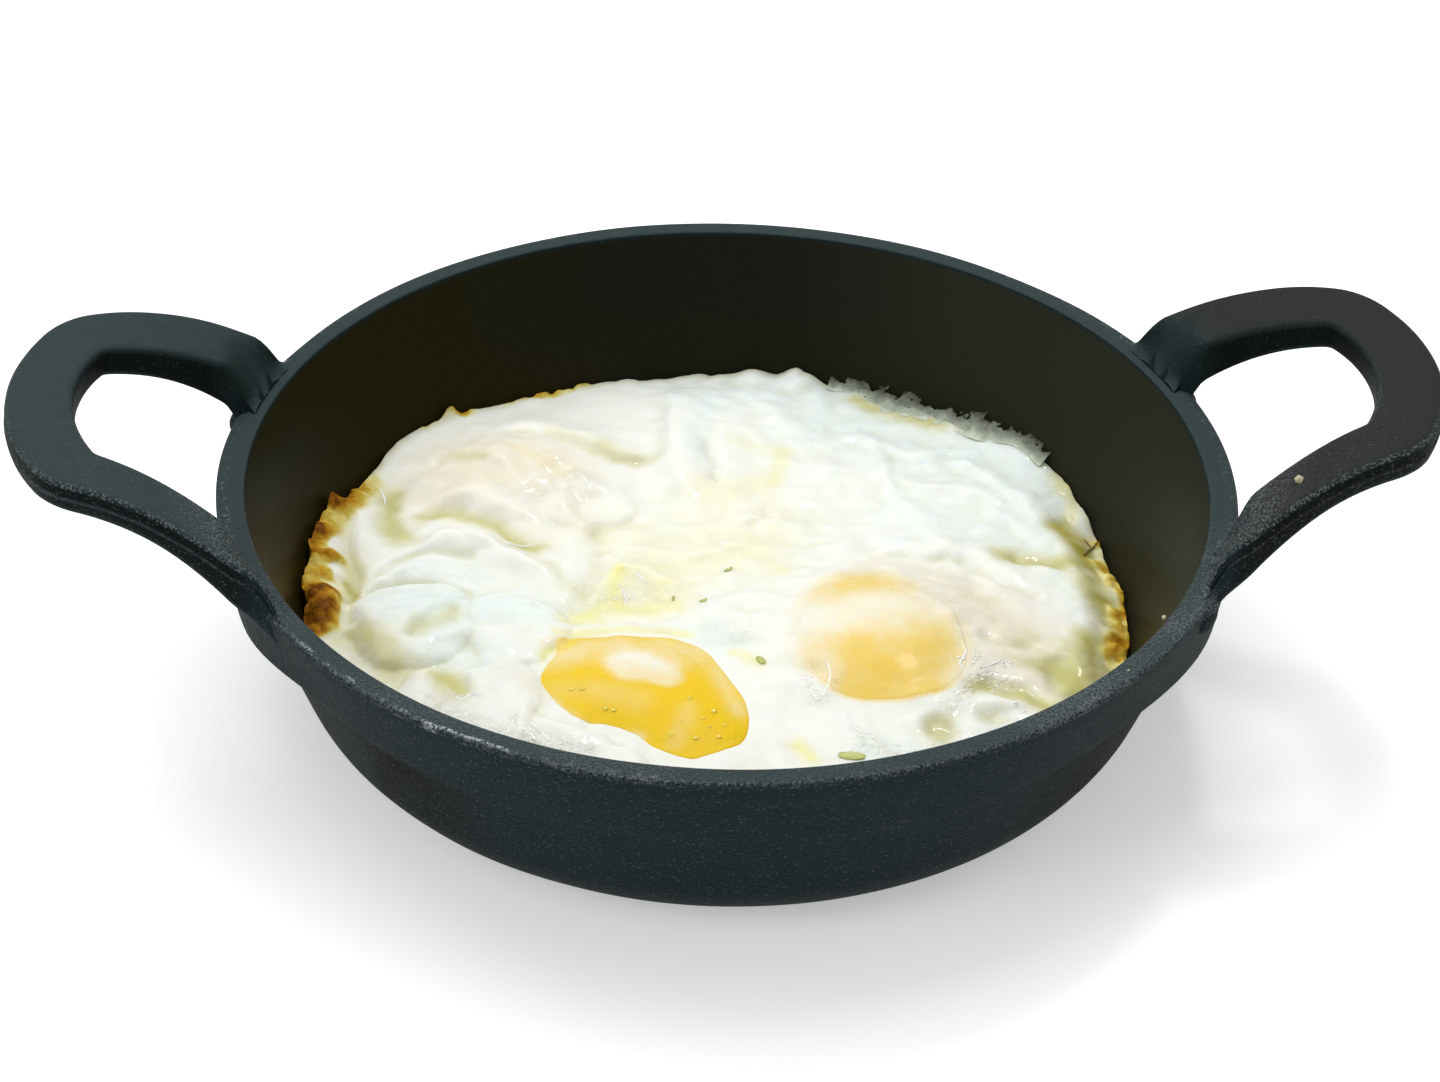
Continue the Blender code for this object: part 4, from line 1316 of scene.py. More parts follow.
# Yolks: outline, run anticlockwise, height of the dome, and how steeply it leaves the edge
YOLK_SHAPES = {
    "yolk_front": (
        ((-34.6, -26.5), (-33.2, -31.4), (-30.8, -35.8), (-27.3, -39.2), (-22.6, -40.0), (-18.6, -42.2),
         (-16.0, -45.4), (-13.0, -47.6), (-9.0, -49.2), (-4.6, -47.4), (-0.4, -44.6), (1.2, -40.0),
         (1.2, -34.0), (-0.6, -28.0), (-3.0, -22.0), (-5.4, -17.2), (-9.4, -14.2), (-16.0, -12.6),
         (-24.0, -12.2), (-30.6, -13.4), (-31.4, -17.8), (-33.4, -21.8)),
        1.8, 0.95,
    ),
    "yolk_right": (
        ((12.0, -20.0), (14.6, -29.0), (20.0, -33.8), (29.0, -35.0), (36.6, -32.5), (41.0, -26.0),
         (40.8, -15.0), (36.4, -5.0), (28.0, 1.6), (19.0, -1.0), (13.2, -9.5)),
        0.15, 1.0,
    ),
    "yolk_back_left": (
        ((-39.5, 45.5), (-34.5, 41.0), (-29.5, 35.5), (-25.8, 34.6), (-26.6, 39.6), (-31.0, 43.6),
         (-35.5, 47.6)),
        0.1, 1.0,
    ),
}


# White over each yolk: its share all over, then strokes of it, as points, width and strength
VEILS = {
    "yolk_front": (
        0.02,
        (
            # painted reflection: this first stroke is the soft paling round the reflection patch
            (((-20.0, -20.8), (-17.6, -21.4), (-12.8, -24.2)), 3.0, 0.62),
            (((-34.0, -18.0), (-20.0, -17.0), (-6.0, -19.0)), 5.0, 0.34),
            (((-31.0, -30.0), (-24.0, -31.5), (-18.0, -34.0)), 3.0, 0.10),
            (((-35.0, -30.0), (-28.0, -40.0), (-18.0, -42.8)), 1.2, 0.30),
            (((-3.0, -25.0), (-0.5, -36.0)), 2.0, 0.22),
            (((-9.0, -37.0), (-12.0, -45.0)), 1.8, 0.16),
        ),
    ),
    "yolk_right": (
        0.17,
        (
            (((12.0, -12.0), (26.0, -9.5), (40.0, -11.0)), 6.0, 0.70),
            (((14.0, -16.0), (28.0, -16.0)), 5.0, 0.46),
            (((8.0, -29.0), (8.0, -11.0), (15.0, 4.0), (27.0, 8.0), (38.0, 1.0)), 5.6, 0.97),
            (((39.0, -3.0), (44.6, -13.0), (44.4, -24.0), (42.4, -30.0)), 5.2, 0.95),
            (((13.0, -31.0), (16.0, -25.0)), 3.0, 0.35),
        ),
    ),
    "yolk_back_left": (
        0.88,
        ((((-40.0, 46.0), (-33.0, 46.5), (-26.0, 40.0)), 2.4, 0.8),),
    ),
}


# A painted reflection of a softbox on the front yolk: a pale patch, crisp at its edges; outline and strength
YOLK_REFLECTION = (
    ((-23.5, -24.0), (-21.0, -28.6), (-16.6, -29.4), (-12.6, -31.2), (-9.4, -29.0), (-9.8, -25.4),
     (-13.6, -22.2), (-15.2, -19.4), (-21.0, -20.0)),
    0.50,
)
YOLK_REFLECTION_LAP = 0.3
YOLK_REFLECTION_EASE = 2.6


def veil_share(name, x, y):
    """Return how much white covers a yolk at each place, from 0 to 1; the front yolk's painted reflection
    counts as white.
    """
    base, strokes = VEILS[name]
    bare = np.full(x.shape, 1.0 - base)
    for points, width, strength in strokes:
        bare *= 1.0 - strength * bell(line_gap(points, x, y), width)
    # painted reflection: the front yolk is paled inside the patch
    if name == "yolk_front":
        outline, strength = YOLK_REFLECTION
        depth = depth_inside(outline, x, y)
        bare *= 1.0 - strength * smooth_step(YOLK_REFLECTION_LAP + depth / YOLK_REFLECTION_EASE)
    return 1.0 - bare


# The glow round the right yolk: its least width, what is added behind, and where "behind" begins
GLOW_WIDTH = 0.5
GLOW_WIDTH_BEHIND = 5.0
GLOW_FRONT = -30.0
GLOW_EASE = 10.0


def yolk_glow(x, y):
    """Return how much of the right yolk still shows through the white just outside it."""
    outside = np.clip(-depth_inside(YOLK_SHAPES["yolk_right"][0], x, y), 0.0, None)
    behind = smooth_step((y - GLOW_FRONT) / GLOW_EASE)
    return (1.0 - veil_share("yolk_right", x, y)) * bell(outside, GLOW_WIDTH + GLOW_WIDTH_BEHIND * behind)


YOLK_SHOULDER = 15.0
# The yolk's skin is smoother than the white, lies just over it, and tucks under it at the edge
YOLK_CALM = 0.75
YOLK_CALM_EASE = 4.0
YOLK_LIFT = 0.03
YOLK_TUCK = 1.8
YOLK_TUCK_START = 0.2
YOLK_TUCK_RUN = 1.3


def yolk_height(name, x, y):
    """Return the height of a yolk's upper skin at each place, in millimetres."""
    outline, rise, steepness = YOLK_SHAPES[name]
    depth = depth_inside(outline, x, y)
    share = np.clip(depth / YOLK_SHOULDER, 0.0, 1.0)
    dome = (1.0 - (1.0 - share) ** 2) ** steepness
    level = cooked_height(x, y) - YOLK_CALM * smooth_step(depth / YOLK_CALM_EASE) * wavy(x, y)
    level = level + YOLK_LIFT + rise * dome
    return level - YOLK_TUCK * smooth_step((YOLK_TUCK_START - depth) / YOLK_TUCK_RUN)


def blurred(values, reach):
    """Return a square table of values blurred along both of its sides."""
    steps = np.arange(-2 * reach, 2 * reach + 1)
    weights = bell(steps, reach)
    weights /= weights.sum()
    for _ in range(2):
        padded = np.pad(values, ((0, 0), (2 * reach, 2 * reach)), mode="edge")
        values = np.array([np.convolve(row, weights, mode="valid") for row in padded]).T
    return values


SEAM_WIDTH = 2.4


def seam_share(x, y):
    """Return how near a place is to the line where the white meets a yolk, from 0 to 1."""
    gaps = [np.abs(depth_inside(outline, x, y)) for outline, _, _ in YOLK_SHAPES.values()]
    return bell(np.minimum.reduce(gaps), SEAM_WIDTH)


EDGE_SINKS = (0.06, 0.14, 0.24, 0.36, 0.50, 0.66, 0.84, 1.0)
DIP_REACH = 6
DIP_DEPTH = 0.7
YOLK_SEAT_DEPTH = 3.5
YOLK_SEAT_START = 0.5
YOLK_SEAT_RUN = 2.2
# The sheet's flank: how far it bulges and draws in, and the size and number of its lumps
FLANK_BULGE = 0.2
FLANK_DRAW_IN = 0.9
FLANK_LUMP = 0.9
FLANK_LUMP_COUNT = 26.0
FLANK_LUMP_HEIGHT = 2.4
# How much olive shade is painted into the white's dips, how clear the white is along its edge, and how soon
# it is firm where it browned
DIP_SHADE = 0.30
EDGE_CLEARNESS = 0.55
CLEAR_EDGE_WIDTH = 2.4
CRUST_FIRMNESS = 1.5


def lay_sheet():
    """Lay the sheet out to its edge and raise its relief; return it and the share of dip at each point."""
    bm = round_sheet(SHEET_CELLS)
    for point in bm.verts:
        turn = math.atan2(point.co.y, point.co.x)
        reach = point.co.length * float(edge_radius(np.float64(turn))) * MM
        point.co = (reach * math.cos(turn), reach * math.sin(turn), 0.0)
    x, y = places(bm)
    height = cooked_height(x, y)
    table = height.reshape(SHEET_CELLS + 1, SHEET_CELLS + 1)
    dips = np.clip((blurred(table, DIP_REACH) - table) / DIP_DEPTH, 0.0, 1.0).ravel()
    for outline, _, _ in YOLK_SHAPES.values():
        seat = smooth_step((depth_inside(outline, x, y) - YOLK_SEAT_START) / YOLK_SEAT_RUN)
        height -= YOLK_SEAT_DEPTH * seat
    for point, level in zip(bm.verts, height):
        point.co.z = float(level) * MM
    return bm, dips


def close_sheet(bm):
    """Carry the sheet's edge down inside the hollow, a little lumpy, and close it beneath."""
    for sink in EDGE_SINKS:
        for point in grown_edge(bm):
            turn = math.atan2(point.co.y, point.co.x)
            level = max(EGG_FOOT, EGG_FOOT + (edge_level(turn) - EGG_FOOT) * (1.0 - sink))
            across, along = FLANK_LUMP_COUNT * math.cos(turn), FLANK_LUMP_COUNT * math.sin(turn)
            lump = noise.noise((across, along, level / FLANK_LUMP_HEIGHT))
            reach = edge_radius(turn) + FLANK_BULGE - FLANK_DRAW_IN * sink + FLANK_LUMP * lump
            reach = min(reach, hollow_radius(level) - WALL_GAP)
            point.co = (reach * MM * math.cos(turn), reach * MM * math.sin(turn), level * MM)
    close_edge(bm)


def make_white_sheet():
    """Return the whole sheet with its stains, painted olive shade in its dips, and clearer along its thin
    edge.
    """
    bm, dips = lay_sheet()
    close_sheet(bm)
    x, y = places(bm)
    shares = {kind: stain_share(kind, x, y) for kind in STAINS}
    shares["yolk"] = np.maximum(shares["yolk"], yolk_glow(x, y))
    # painted shade: the deeper a dip, the more of the olive clear stain it takes
    shares["clear"][:dips.size] += DIP_SHADE * dips * (1.0 - shares["clear"][:dips.size])
    inward = edge_radius(np.arctan2(y, x)) - np.hypot(x, y)
    clear_edge = EDGE_CLEARNESS * smooth_step(1.0 - inward / CLEAR_EDGE_WIDTH)
    shares["clear"] = np.maximum(shares["clear"], clear_edge)
    shares["firm"] = np.maximum(seam_share(x, y), smooth_step(CRUST_FIRMNESS * shares["crust"]))
    stain_mesh(bm, shares)
    return bm


WHITE_TONES = ((0.890, 0.902, 0.815), (0.900, 0.908, 0.845))
YOLK_YELLOW = (0.855, 0.570, 0.004)
STAIN_COLOURS = {
    "cool": (0.785, 0.890, 0.865),
    "blush": (0.845, 0.770, 0.605),
    "butter": (0.865, 0.810, 0.250),
    "yolk": YOLK_YELLOW,
    # the clear stain also carries the painted shade in the white's dips
    "clear": (0.580, 0.550, 0.200),
    "oily": (0.430, 0.365, 0.045),
}
FILM_COLOUR = (0.760, 0.745, 0.640)
# From white that has only set, through gold, to the darkest brown
CRUST_STOPS = (
    (0.0, (0.88, 0.87, 0.72)),
    (0.18, (0.74, 0.67, 0.26)),
    (0.36, (0.58, 0.42, 0.065)),
    (0.58, (0.47, 0.245, 0.014)),
    (0.78, (0.32, 0.130, 0.005)),
    (1.0, (0.15, 0.050, 0.003)),
)
WHITE_GLOW = (0.0036, 0.0030, 0.0020)
YOLK_GLOW = (0.0034, 0.0018, 0.0005)


def cooked_colour(finish, blotch, fleck, crumb):
    """Return the colour of set white, with each kind of stain laid over it and the crust last."""
    mottle = 1.2 * blotch + 0.8 * fleck - 1.0
    colour = finish.blend(blotch, *WHITE_TONES)
    for kind, stain in STAIN_COLOURS.items():
        share = finish.attribute(kind)
        share = share + 1.6 * mottle * share * (1.0 - share)
        colour = finish.blend(share.clamped(), colour, stain)
    film = finish.attribute("film")
    colour = finish.blend((film * fleck * 0.9).clamped(), colour, FILM_COLOUR)
    crust = finish.attribute("crust")
    patches = 0.45 * finish.range(blotch, 0.36, 0.64) + 0.34 * finish.range(crumb, 0.36, 0.64)
    crisp = (crust * (0.26 + patches + 0.20 * fleck)).clamped()
    fried = finish.node("ShaderNodeValToRGB", {"stops": CRUST_STOPS}, {"Fac": crisp})
    return finish.blend(finish.range(crust, 0.05, 0.40), colour, fried)


def cooked_relief(finish, crumb):
    """Return a soft wet skin that crinkles where it is film and roughens where it is crust."""
    relief = finish.bump(finish.noise(260.0), 0.0005, 0.25)
    relief = finish.bump(finish.noise(1000.0), 0.00022, 0.45, relief)
    crinkle = finish.noise(700.0, 2.0, 0.6, 0.8)
    relief = finish.bump(crinkle * finish.attribute("film"), 0.0011, 0.9, relief)
    return finish.bump(crumb * finish.attribute("crust"), 0.0012, 0.7, relief)


def cooked_egg(name, glow_reach):
    """Cooked egg, stained as its points say: soft, wet, faintly see-through, crisp where it browned."""
    finish = Finish(name)
    blotch = finish.noise(170.0, 3.0)
    fleck = finish.noise(560.0, 3.0, 0.6)
    crumb = finish.noise(330.0, 2.0, 0.6)
    film, crust, yolk_share = (finish.attribute(kind) for kind in ("film", "crust", "yolk"))
    finish.feed(
        Base_Color=cooked_colour(finish, blotch, fleck, crumb),
        Roughness=(0.30 + 0.16 * fleck + 0.12 * crust).clamped(),
        Normal=cooked_relief(finish, crumb),
        Specular_IOR_Level=0.05,
        Subsurface_Weight=0.60,
        Subsurface_Radius=glow_reach,
        Subsurface_Scale=1.0,
        Coat_Roughness=0.05,
        Coat_IOR=1.36,
        Coat_Weight=(0.40 + 0.6 * film - 0.8 * crust - 0.40 * yolk_share).clamped(),
    )
    finish.firm_up(finish.attribute("firm"))
    return finish.material


egg_white_skin = cooked_egg("set_egg_white", WHITE_GLOW)
egg_white_piece = add_piece("egg_white_sheet", make_white_sheet(), [egg_white_skin], EGG_CREASE)
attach(egg_white_piece, "root")
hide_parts("egg_white")


# The yolks: three soft domes set in the white. The front one is bare and glossy, with a painted
# reflection in its middle; the right one lies under a thin veil, and the back left one is all but hidden.
YOLK_CELLS = 96
YOLK_LAP = 1.2
YOLK_FLOOR = 8.2
# How the yolk closes beneath: rings of it, as shares of its width and of the way down
YOLK_BELLY = ((1.0, 0.3), (0.90, 0.65), (0.65, 0.9), (0.3, 1.0))


def make_yolk(name):
    """Lay a round sheet out to the yolk's outline, dome it, and close it with a slack belly."""
    outline = YOLK_SHAPES[name][0]
    line = smooth_line(outline, closed=True)
    middle = line.mean(axis=0)
    turns = np.arctan2(line[:, 1] - middle[1], line[:, 0] - middle[0])
    reaches = np.hypot(line[:, 0] - middle[0], line[:, 1] - middle[1]) + YOLK_LAP
    order = np.argsort(turns)
    bm = round_sheet(YOLK_CELLS)
    for point in bm.verts:
        turn = math.atan2(point.co.y, point.co.x)
        reach = point.co.length * np.interp(turn, turns[order], reaches[order], period=math.tau)
        across, along = middle + reach * np.array((math.cos(turn), math.sin(turn)))
        point.co = (across * MM, along * MM, 0.0)
    x, y = places(bm)
    for point, level in zip(bm.verts, yolk_height(name, x, y)):
        point.co.z = float(level) * MM
    centre = Vector((middle[0] * MM, middle[1] * MM, 0.0))
    for shrink, sink in YOLK_BELLY:
        for point in grown_edge(bm):
            flat = Vector((point.co.x, point.co.y, 0.0)) - centre
            level = point.co.z + (YOLK_FLOOR * MM - point.co.z) * sink
            point.co = centre + flat * shrink + Vector((0.0, 0.0, level))
    close_edge(bm)
    x, y = places(bm)
    shares = {kind: stain_share(kind, x, y) for kind in STAINS}
    shares["yolk"] = 1.0 - veil_share(name, x, y)
    shares["firm"] = seam_share(x, y)
    stain_mesh(bm, shares)
    return bm


yolk_skin = cooked_egg("soft_yolk", YOLK_GLOW)
for yolk_name in YOLK_SHAPES:
    yolk = add_piece(yolk_name.replace("yolk_", "soft_yolk_"), make_yolk(yolk_name), [yolk_skin], EGG_CREASE)
    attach(yolk, "root")
    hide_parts(yolk_name)


# Bubbles in the front yolk: small blisters of clear film that rose in it while it was still runny
# and set there. Each is half sunk in the yolk's skin.
YOLK_BUBBLES = (
    # middle x and y, radius
    (-29.2, -30.4, 0.55), (-27.4, -30.6, 0.60), (-23.6, -36.0, 0.60), (-22.2, -36.4, 0.55),
    (-8.8, -34.2, 0.50), (-8.4, -44.4, 0.55), (-4.8, -37.4, 0.60), (-4.4, -43.8, 0.55),
    (-12.6, -43.4, 0.40), (-6.8, -39.6, 0.40), (-3.2, -40.8, 0.42), (-5.8, -41.6, 0.36),
    (-10.6, -40.4, 0.34), (-2.6, -36.2, 0.36), (-16.4, -45.2, 0.36), (-32.4, -34.4, 0.36),
    (-2.0, -44.6, 0.34), (-7.2, -32.0, 0.30),
)
BUBBLE_SINK = 0.15
BUBBLE_FLATNESS = 0.75
BUBBLE_SIDES = (16, 10)


def add_flat_ball(bm, middle, radius, flatness, sides):
    """Add a flattened ball to a bmesh, placed in millimetres."""
    seat = Matrix.Translation(Vector(middle) * MM) @ Matrix.Diagonal((1.0, 1.0, flatness, 1.0))
    bmesh.ops.create_uvsphere(bm, u_segments=sides[0], v_segments=sides[1], radius=radius * MM, matrix=seat)


bubble_finish = Finish("yolk_bubble")
bubble_colour = bubble_finish.blend(bubble_finish.noise(900.0), (0.86, 0.62, 0.03), (0.90, 0.70, 0.10))
bubble_finish.feed(Base_Color=bubble_colour, Roughness=0.12, Specular_IOR_Level=0.4, Coat_Weight=0.8)
bubble_mesh = bmesh.new()
for bubble_x, bubble_y, bubble_radius in YOLK_BUBBLES:
    level = float(yolk_height("yolk_front", np.array([bubble_x]), np.array([bubble_y]))[0])
    middle = (bubble_x, bubble_y, level - BUBBLE_SINK)
    add_flat_ball(bubble_mesh, middle, bubble_radius, BUBBLE_FLATNESS, BUBBLE_SIDES)
bubbles = add_piece("yolk_bubbles", bubble_mesh, [bubble_finish.material])
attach(bubbles, "root")


# Wrinkles in the skin: thin folds that the white's wet skin puckered into as it tightened round the
# yolks. They lie half sunk in the white and catch the light.
WRINKLES = (
    ((11.8, -27.4), (13.8, -33.6), (16.4, -28.4), (15.8, -24.8)),
    ((19.4, -35.2), (18.8, -38.2), (19.8, -41.6), (22.6, -43.4)),
    ((25.0, -46.8), (27.4, -48.8), (30.6, -48.0)),
    ((40.0, -19.8), (41.0, -23.2), (39.6, -26.2), (40.8, -28.0)),
    ((42.8, -26.8), (45.2, -25.4), (47.4, -24.2), (49.0, -25.6)),
    ((37.2, -6.4), (38.0, -10.2)),
    ((48.4, -41.0), (50.8, -39.8), (53.2, -40.4)),
    ((-62.0, 37.2), (-61.0, 34.2), (-61.0, 32.0)),
    ((-41.8, 21.2), (-39.2, 18.0), (-36.0, 17.4), (-32.8, 17.8)),
    ((-50.6, -29.0), (-48.8, -32.4), (-46.6, -31.0), (-46.0, -32.8)),
    ((-39.6, -38.6), (-36.4, -41.0), (-34.0, -45.0), (-32.0, -47.0)),
    ((-28.6, -48.2), (-25.6, -46.0)),
    ((-19.0, 4.6), (-18.0, 0.6), (-18.2, -2.6)),
    ((-15.8, 8.4), (-13.8, 5.2)),
    ((-35.4, -1.2), (-33.8, -4.8)),
    ((-24.4, 37.0), (-22.8, 32.0)),
    ((22.4, -52.0), (25.0, -52.6)),
)
WRINKLE_RADIUS = 0.23
WRINKLE_SINK = 0.04
THREAD_SIDES = 10
THREAD_FLATNESS = 0.6
THREAD_END_SHARE = 0.06


def thread(bm, points, full_radius, sink):
    """Lay a thread along a smooth line on the cooked surface, thinning it to its ends."""
    line = smooth_line(points)
    levels = cooked_height(line[:, 0], line[:, 1]) - sink
    rings = []
    for index, (spot, run, level) in enumerate(zip(line, np.gradient(line, axis=0), levels)):
        fullness = max(THREAD_END_SHARE, math.sin(math.pi * index / (len(line) - 1)))
        radius = full_radius * math.sqrt(fullness)
        side = Vector((-run[1], run[0], 0.0)).normalized()
        ring = []
        for step in range(THREAD_SIDES):
            turn = math.tau * step / THREAD_SIDES
            offset = side * math.cos(turn) + Vector((0.0, 0.0, THREAD_FLATNESS * math.sin(turn)))
            ring.append((Vector((*spot, level)) + offset * radius) * MM)
        rings.append(ring)
    loft(rings, bm)


wrinkle_finish = Finish("wet_skin")
wrinkle_tone = wrinkle_finish.noise(300.0)
wrinkle_finish.feed(
    Base_Color=wrinkle_finish.blend(wrinkle_tone, (0.90, 0.91, 0.86), (0.93, 0.94, 0.92)),
    Roughness=0.10 + 0.10 * wrinkle_tone,
    Specular_IOR_Level=0.5,
    Coat_Weight=1.0,
    Coat_Roughness=0.04,
)
wrinkle_mesh = bmesh.new()
for wrinkle in WRINKLES:
    thread(wrinkle_mesh, wrinkle, WRINKLE_RADIUS, WRINKLE_SINK)
wrinkles = add_piece("skin_wrinkles", wrinkle_mesh, [wrinkle_finish.material], EGG_CREASE)
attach(wrinkles, "root")


# Wet beads: drops of clear white that gathered on the film round the yolks and in the furrows. Each
# is a low dome, from a quarter to two thirds of a millimetre across.
BEAD_PATCHES = (
    # middle x and y, spread, how many
    (42.4, -24.4, 3.0, 16),
    (44.0, -29.0, 2.6, 12),
    (47.5, -25.0, 2.2, 7),
    (21.5, -44.0, 3.4, 8),
    (28.0, -48.0, 3.0, 9),
    (14.0, -30.0, 2.2, 5),
    (-48.0, -31.0, 4.0, 12),
    (-40.0, -41.0, 4.5, 14),
    (-30.0, -46.0, 3.0, 9),
    (-18.0, 0.0, 3.4, 7),
    (40.0, -6.0, 4.0, 6),
    (50.0, -38.0, 4.0, 6),
)
BEAD_RADII = (0.12, 0.34)
BEAD_FLATNESS = 0.5
BEAD_SIDES = (12, 8)
BEAD_SEED = 7

bead_finish = Finish("wet_bead")
bead_finish.feed(
    Base_Color=bead_finish.blend(bead_finish.noise(500.0), (0.88, 0.89, 0.82), (0.95, 0.95, 0.92)),
    Roughness=0.08,
    Specular_IOR_Level=0.5,
    Coat_Weight=1.0,
    Coat_Roughness=0.03,
)
bead_mesh = bmesh.new()
bead_dice = np.random.default_rng(BEAD_SEED)
for patch_x, patch_y, spread, count in BEAD_PATCHES:
    spots = bead_dice.normal((patch_x, patch_y), spread / 2, (count, 2))
    radii = bead_dice.uniform(*BEAD_RADII, count)
    for spot, radius, level in zip(spots, radii, cooked_height(spots[:, 0], spots[:, 1])):
        add_flat_ball(bead_mesh, (*spot, level), radius, BEAD_FLATNESS, BEAD_SIDES)
beads = add_piece("wet_beads", bead_mesh, [bead_finish.material])
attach(beads, "root")


# The lace: a thin film of white that crept up the iron at the back right and dried there, full of
# burst bubbles. It hangs between the white's edge and the wall, and the iron shows through it.
LACE_CELLS = (200, 30)
LACE_OVERLAP = 1.6
LACE_LAP_TURN = 4.0
LACE_TOP = 19.4
LACE_CREST = 1.8
LACE_CREST_TURN = 52.0
LACE_CREST_FADE = 10.0
LACE_EDGE_LIFT = 0.4
LACE_ROUGHNESS = 0.45
LACE_LUMP_COUNT = 40.0
LACE_LUMP_ROWS = 3.0
LACE_WALL_GAP = 0.3
LACE_HOLE_SIZE = 1.7
LACE_TEAR_SIZE = 3.4
# Holes: how wide they are at the least, and what is added towards the wall
LACE_HOLE = 0.06
LACE_HOLE_GROWTH = 0.30
# Tears in from the wall: how ragged they are, and where they begin
LACE_RAGGEDNESS = 0.45
LACE_TEAR_START = 0.93
LACE_OCTAVES = 3
LACE_THICKNESS = 0.12


def burst_faces(bm, spread):
    """Return the faces to take out: round holes, wider towards the wall, and tears in from it."""
    burst = []
    for face in bm.faces:
        middle = face.calc_center_median() / MM
        outward = sum(point[spread] for point in face.verts) / len(face.verts)
        gap = noise.voronoi(middle / LACE_HOLE_SIZE)[0][0]
        ragged = noise.fractal(middle / LACE_TEAR_SIZE, OCTAVE_FADE, OCTAVE_STEP, LACE_OCTAVES)
        hole = LACE_HOLE + LACE_HOLE_GROWTH * outward * abs(ragged) ** 0.5
        if gap < hole or outward + LACE_RAGGEDNESS * ragged > LACE_TEAR_START:
            burst.append(face)
    return burst


def make_lace():
    """Stretch a strip from the white's edge to the wall, burst it towards the wall, and thicken it."""
    bm = bmesh.new()
    bmesh.ops.create_grid(bm, x_segments=LACE_CELLS[0], y_segments=LACE_CELLS[1], size=0.5)
    spread = bm.verts.layers.float.new("spread")
    low_turn, high_turn = LACE_TURNS[0] - LACE_LAP_TURN, LACE_TURNS[1] + LACE_LAP_TURN
    for point in bm.verts:
        outward = point.co.y + 0.5
        degrees = high_turn + (low_turn - high_turn) * (point.co.x + 0.5)
        turn = math.radians(degrees)
        inner = float(edge_radius(np.float64(turn))) - LACE_OVERLAP
        crest = LACE_CREST * float(smooth_step((LACE_CREST_TURN - degrees) / LACE_CREST_FADE))
        climb = LACE_TOP + crest
        across, along = math.cos(turn) * LACE_LUMP_COUNT, math.sin(turn) * LACE_LUMP_COUNT
        spot = (across, along, outward * LACE_LUMP_ROWS)
        rough = noise.fractal(spot, OCTAVE_FADE, OCTAVE_STEP, LACE_OCTAVES)
        inner_level = float(edge_level(turn)) + LACE_EDGE_LIFT
        level = inner_level + (climb - inner_level) * outward**2
        level += LACE_ROUGHNESS * rough * (0.3 + outward)
        radius = inner + (hollow_radius(level) - LACE_WALL_GAP - inner) * outward
        point.co = Vector((radius * math.cos(turn), radius * math.sin(turn), level)) * MM
        point[spread] = outward
    bmesh.ops.delete(bm, geom=burst_faces(bm, spread), context="FACES")
    bmesh.ops.solidify(bm, geom=list(bm.faces), thickness=LACE_THICKNESS * MM)
    bmesh.ops.recalc_face_normals(bm, faces=bm.faces)
    return bm


lace_finish = Finish("dried_lace")
lace_blotch = lace_finish.noise(420.0, 3.0, 0.6)
lace_spread = lace_finish.attribute("spread")
lace_tone = (lace_spread * 0.9 + lace_blotch * 0.7 - 0.25).clamped()
lace_stops = (
    (0.0, (0.64, 0.69, 0.56)),
    (0.35, (0.46, 0.51, 0.40)),
    (0.62, (0.28, 0.31, 0.24)),
    (1.0, (0.130, 0.130, 0.095)),
)
lace_finish.feed(
    Base_Color=lace_finish.node("ShaderNodeValToRGB", {"stops": lace_stops}, {"Fac": lace_tone}),
    Roughness=0.45,
    Specular_IOR_Level=0.3,
    Alpha=(1.15 - 0.75 * lace_tone - 0.2 * lace_blotch).clamped(),
    Normal=lace_finish.bump(lace_blotch, 0.0006, 0.6),
)
lace = add_piece("fried_lace", make_lace(), [lace_finish.material], EGG_CREASE)
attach(lace, "root")


# Green flecks: five scraps of chopped herb, scattered over the white. Each is a thin curled leaf,
# about an eighth of a millimetre thick, that lies loose on the wet skin.
HERB_FLECKS = (
    # place, heading in degrees, length and width
    ((18.2, -49.0), -14.0, 4.6, 2.1),
    ((4.6, -22.6), -58.0, 2.2, 1.0),
    ((-4.1, -2.1), 20.0, 1.3, 0.6),
    ((1.2, 7.8), 30.0, 1.6, 0.8),
    ((-9.4, -0.6), 70.0, 1.0, 0.5),
)
FLECK_THICKNESS = 0.12
FLECK_CURL = 0.20
FLECK_RAGGEDNESS = 0.35
FLECK_RAG_SCALE = 1.3
# A little more than 1, so that a leaf keeps some width at its ends
FLECK_FULLNESS = 1.04

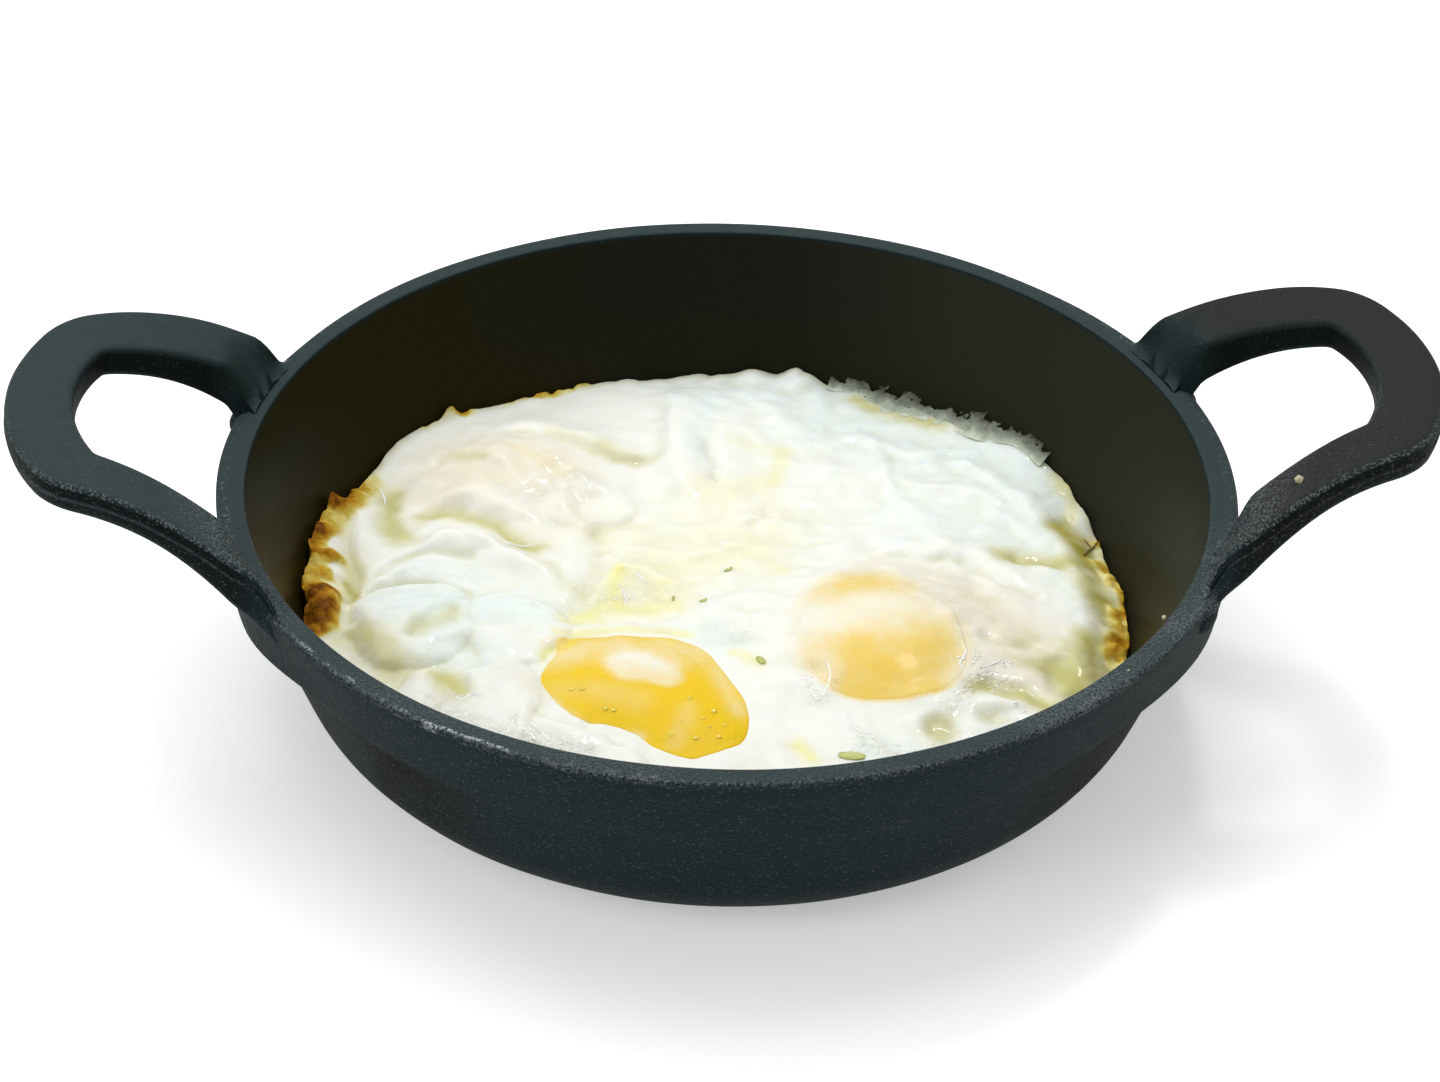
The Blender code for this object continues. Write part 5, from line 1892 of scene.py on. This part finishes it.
fleck_finish = Finish("herb_green")
fleck_tone = fleck_finish.noise(1400.0, 3.0)
fleck_finish.feed(
    Base_Color=fleck_finish.blend(fleck_tone, (0.34, 0.40, 0.03), (0.62, 0.66, 0.24)),
    Roughness=0.35,
    Normal=fleck_finish.bump(fleck_tone, 0.0003, 0.6),
    Coat_Weight=0.3,
)
fleck_mesh = bmesh.new()
for (fleck_x, fleck_y), heading, length, width in HERB_FLECKS:
    leaf = bmesh.ops.create_grid(fleck_mesh, x_segments=12, y_segments=6, size=0.5)["verts"]
    cos_heading, sin_heading = math.cos(math.radians(heading)), math.sin(math.radians(heading))
    spots = []
    for point in leaf:
        along = point.co.x * length
        rag = noise.noise((along * FLECK_RAG_SCALE + fleck_x, point.co.y, fleck_y))
        ragged = 1.0 + FLECK_RAGGEDNESS * rag
        across = point.co.y * width * ragged * math.sqrt(FLECK_FULLNESS - (2.0 * point.co.x) ** 2)
        spots.append((
            fleck_x + along * cos_heading - across * sin_heading,
            fleck_y + along * sin_heading + across * cos_heading,
            FLECK_CURL * (2.0 * point.co.y) ** 2 + FLECK_CURL * max(0.0, 2.0 * point.co.x) ** 3,
        ))
    spots = np.array(spots)
    levels = cooked_height(spots[:, 0], spots[:, 1]) + spots[:, 2] + FLECK_THICKNESS / 2
    for point, spot, level in zip(leaf, spots, levels):
        point.co = (spot[0] * MM, spot[1] * MM, float(level) * MM)
bmesh.ops.solidify(fleck_mesh, geom=list(fleck_mesh.faces), thickness=FLECK_THICKNESS * MM)
bmesh.ops.recalc_face_normals(fleck_mesh, faces=fleck_mesh.faces)
flecks = add_piece("herb_flecks", fleck_mesh, [fleck_finish.material])
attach(flecks, "root")


# The brown strand: a hair-thin string of white that dried and browned on the crust at the right.
# It lies across the crust in a slack bend, with a short side branch.
STRAND = ((71.2, 19.0), (69.8, 17.2), (68.6, 15.2), (67.4, 12.8))
STRAND_BRANCH = ((69.8, 17.2), (69.0, 18.2), (68.6, 19.4))
STRAND_RADIUS = 0.24
STRAND_LIFT = 0.20
BRANCH_RADIUS = STRAND_RADIUS * 0.7
BRANCH_LIFT = 0.15

strand_finish = Finish("browned_strand")
strand_tone = strand_finish.noise(800.0)
strand_finish.feed(
    Base_Color=strand_finish.blend(strand_tone, (0.10, 0.065, 0.012), (0.22, 0.16, 0.03)),
    Roughness=0.45,
)
strand_mesh = bmesh.new()
thread(strand_mesh, STRAND, STRAND_RADIUS, -STRAND_LIFT)
thread(strand_mesh, STRAND_BRANCH, BRANCH_RADIUS, -BRANCH_LIFT)
strand = add_piece("browned_strand", strand_mesh, [strand_finish.material], EGG_CREASE)
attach(strand, "root")


# Crumbs: three scraps of cooked white that were dropped on the iron, one on the handle at the right
# and two on the rim. They are lumpy balls, from half a millimetre to a millimetre and a half across.
CRUMBS = (
    # place, height above the handle or rim, radius
    ((96.1, -28.4), 0.3, 0.75),
    ((71.0, -46.6), 0.0, 0.40),
    ((62.6, -61.5), 0.0, 0.24),
)
CRUMB_LUMPINESS = 0.35
CRUMB_LUMP_SCALE = 1.6

crumb_finish = Finish("white_crumb")
crumb_tone = crumb_finish.noise(1200.0, 3.0)
crumb_finish.feed(
    Base_Color=crumb_finish.blend(crumb_tone, (0.40, 0.38, 0.20), (0.60, 0.58, 0.40)),
    Roughness=0.45,
    Normal=crumb_finish.bump(crumb_tone, 0.0004, 0.7),
)
crumb_mesh = bmesh.new()
for (crumb_x, crumb_y), lift, radius in CRUMBS:
    on_handle = math.hypot(crumb_x, crumb_y) * MM > RIM_RADIUS
    level = (handle_top(crumb_x * MM, crumb_y * MM) if on_handle else RIM_HEIGHT) / MM + lift
    for point in bmesh.ops.create_icosphere(crumb_mesh, subdivisions=3, radius=radius)["verts"]:
        lump = noise.noise(point.co * CRUMB_LUMP_SCALE + Vector((crumb_x, crumb_y, 0.0)))
        point.co *= 1.0 + CRUMB_LUMPINESS * lump
        point.co = (point.co + Vector((crumb_x, crumb_y, level))) * MM
crumbs = add_piece("white_crumbs", crumb_mesh, [crumb_finish.material], EGG_CREASE)
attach(crumbs, "root")
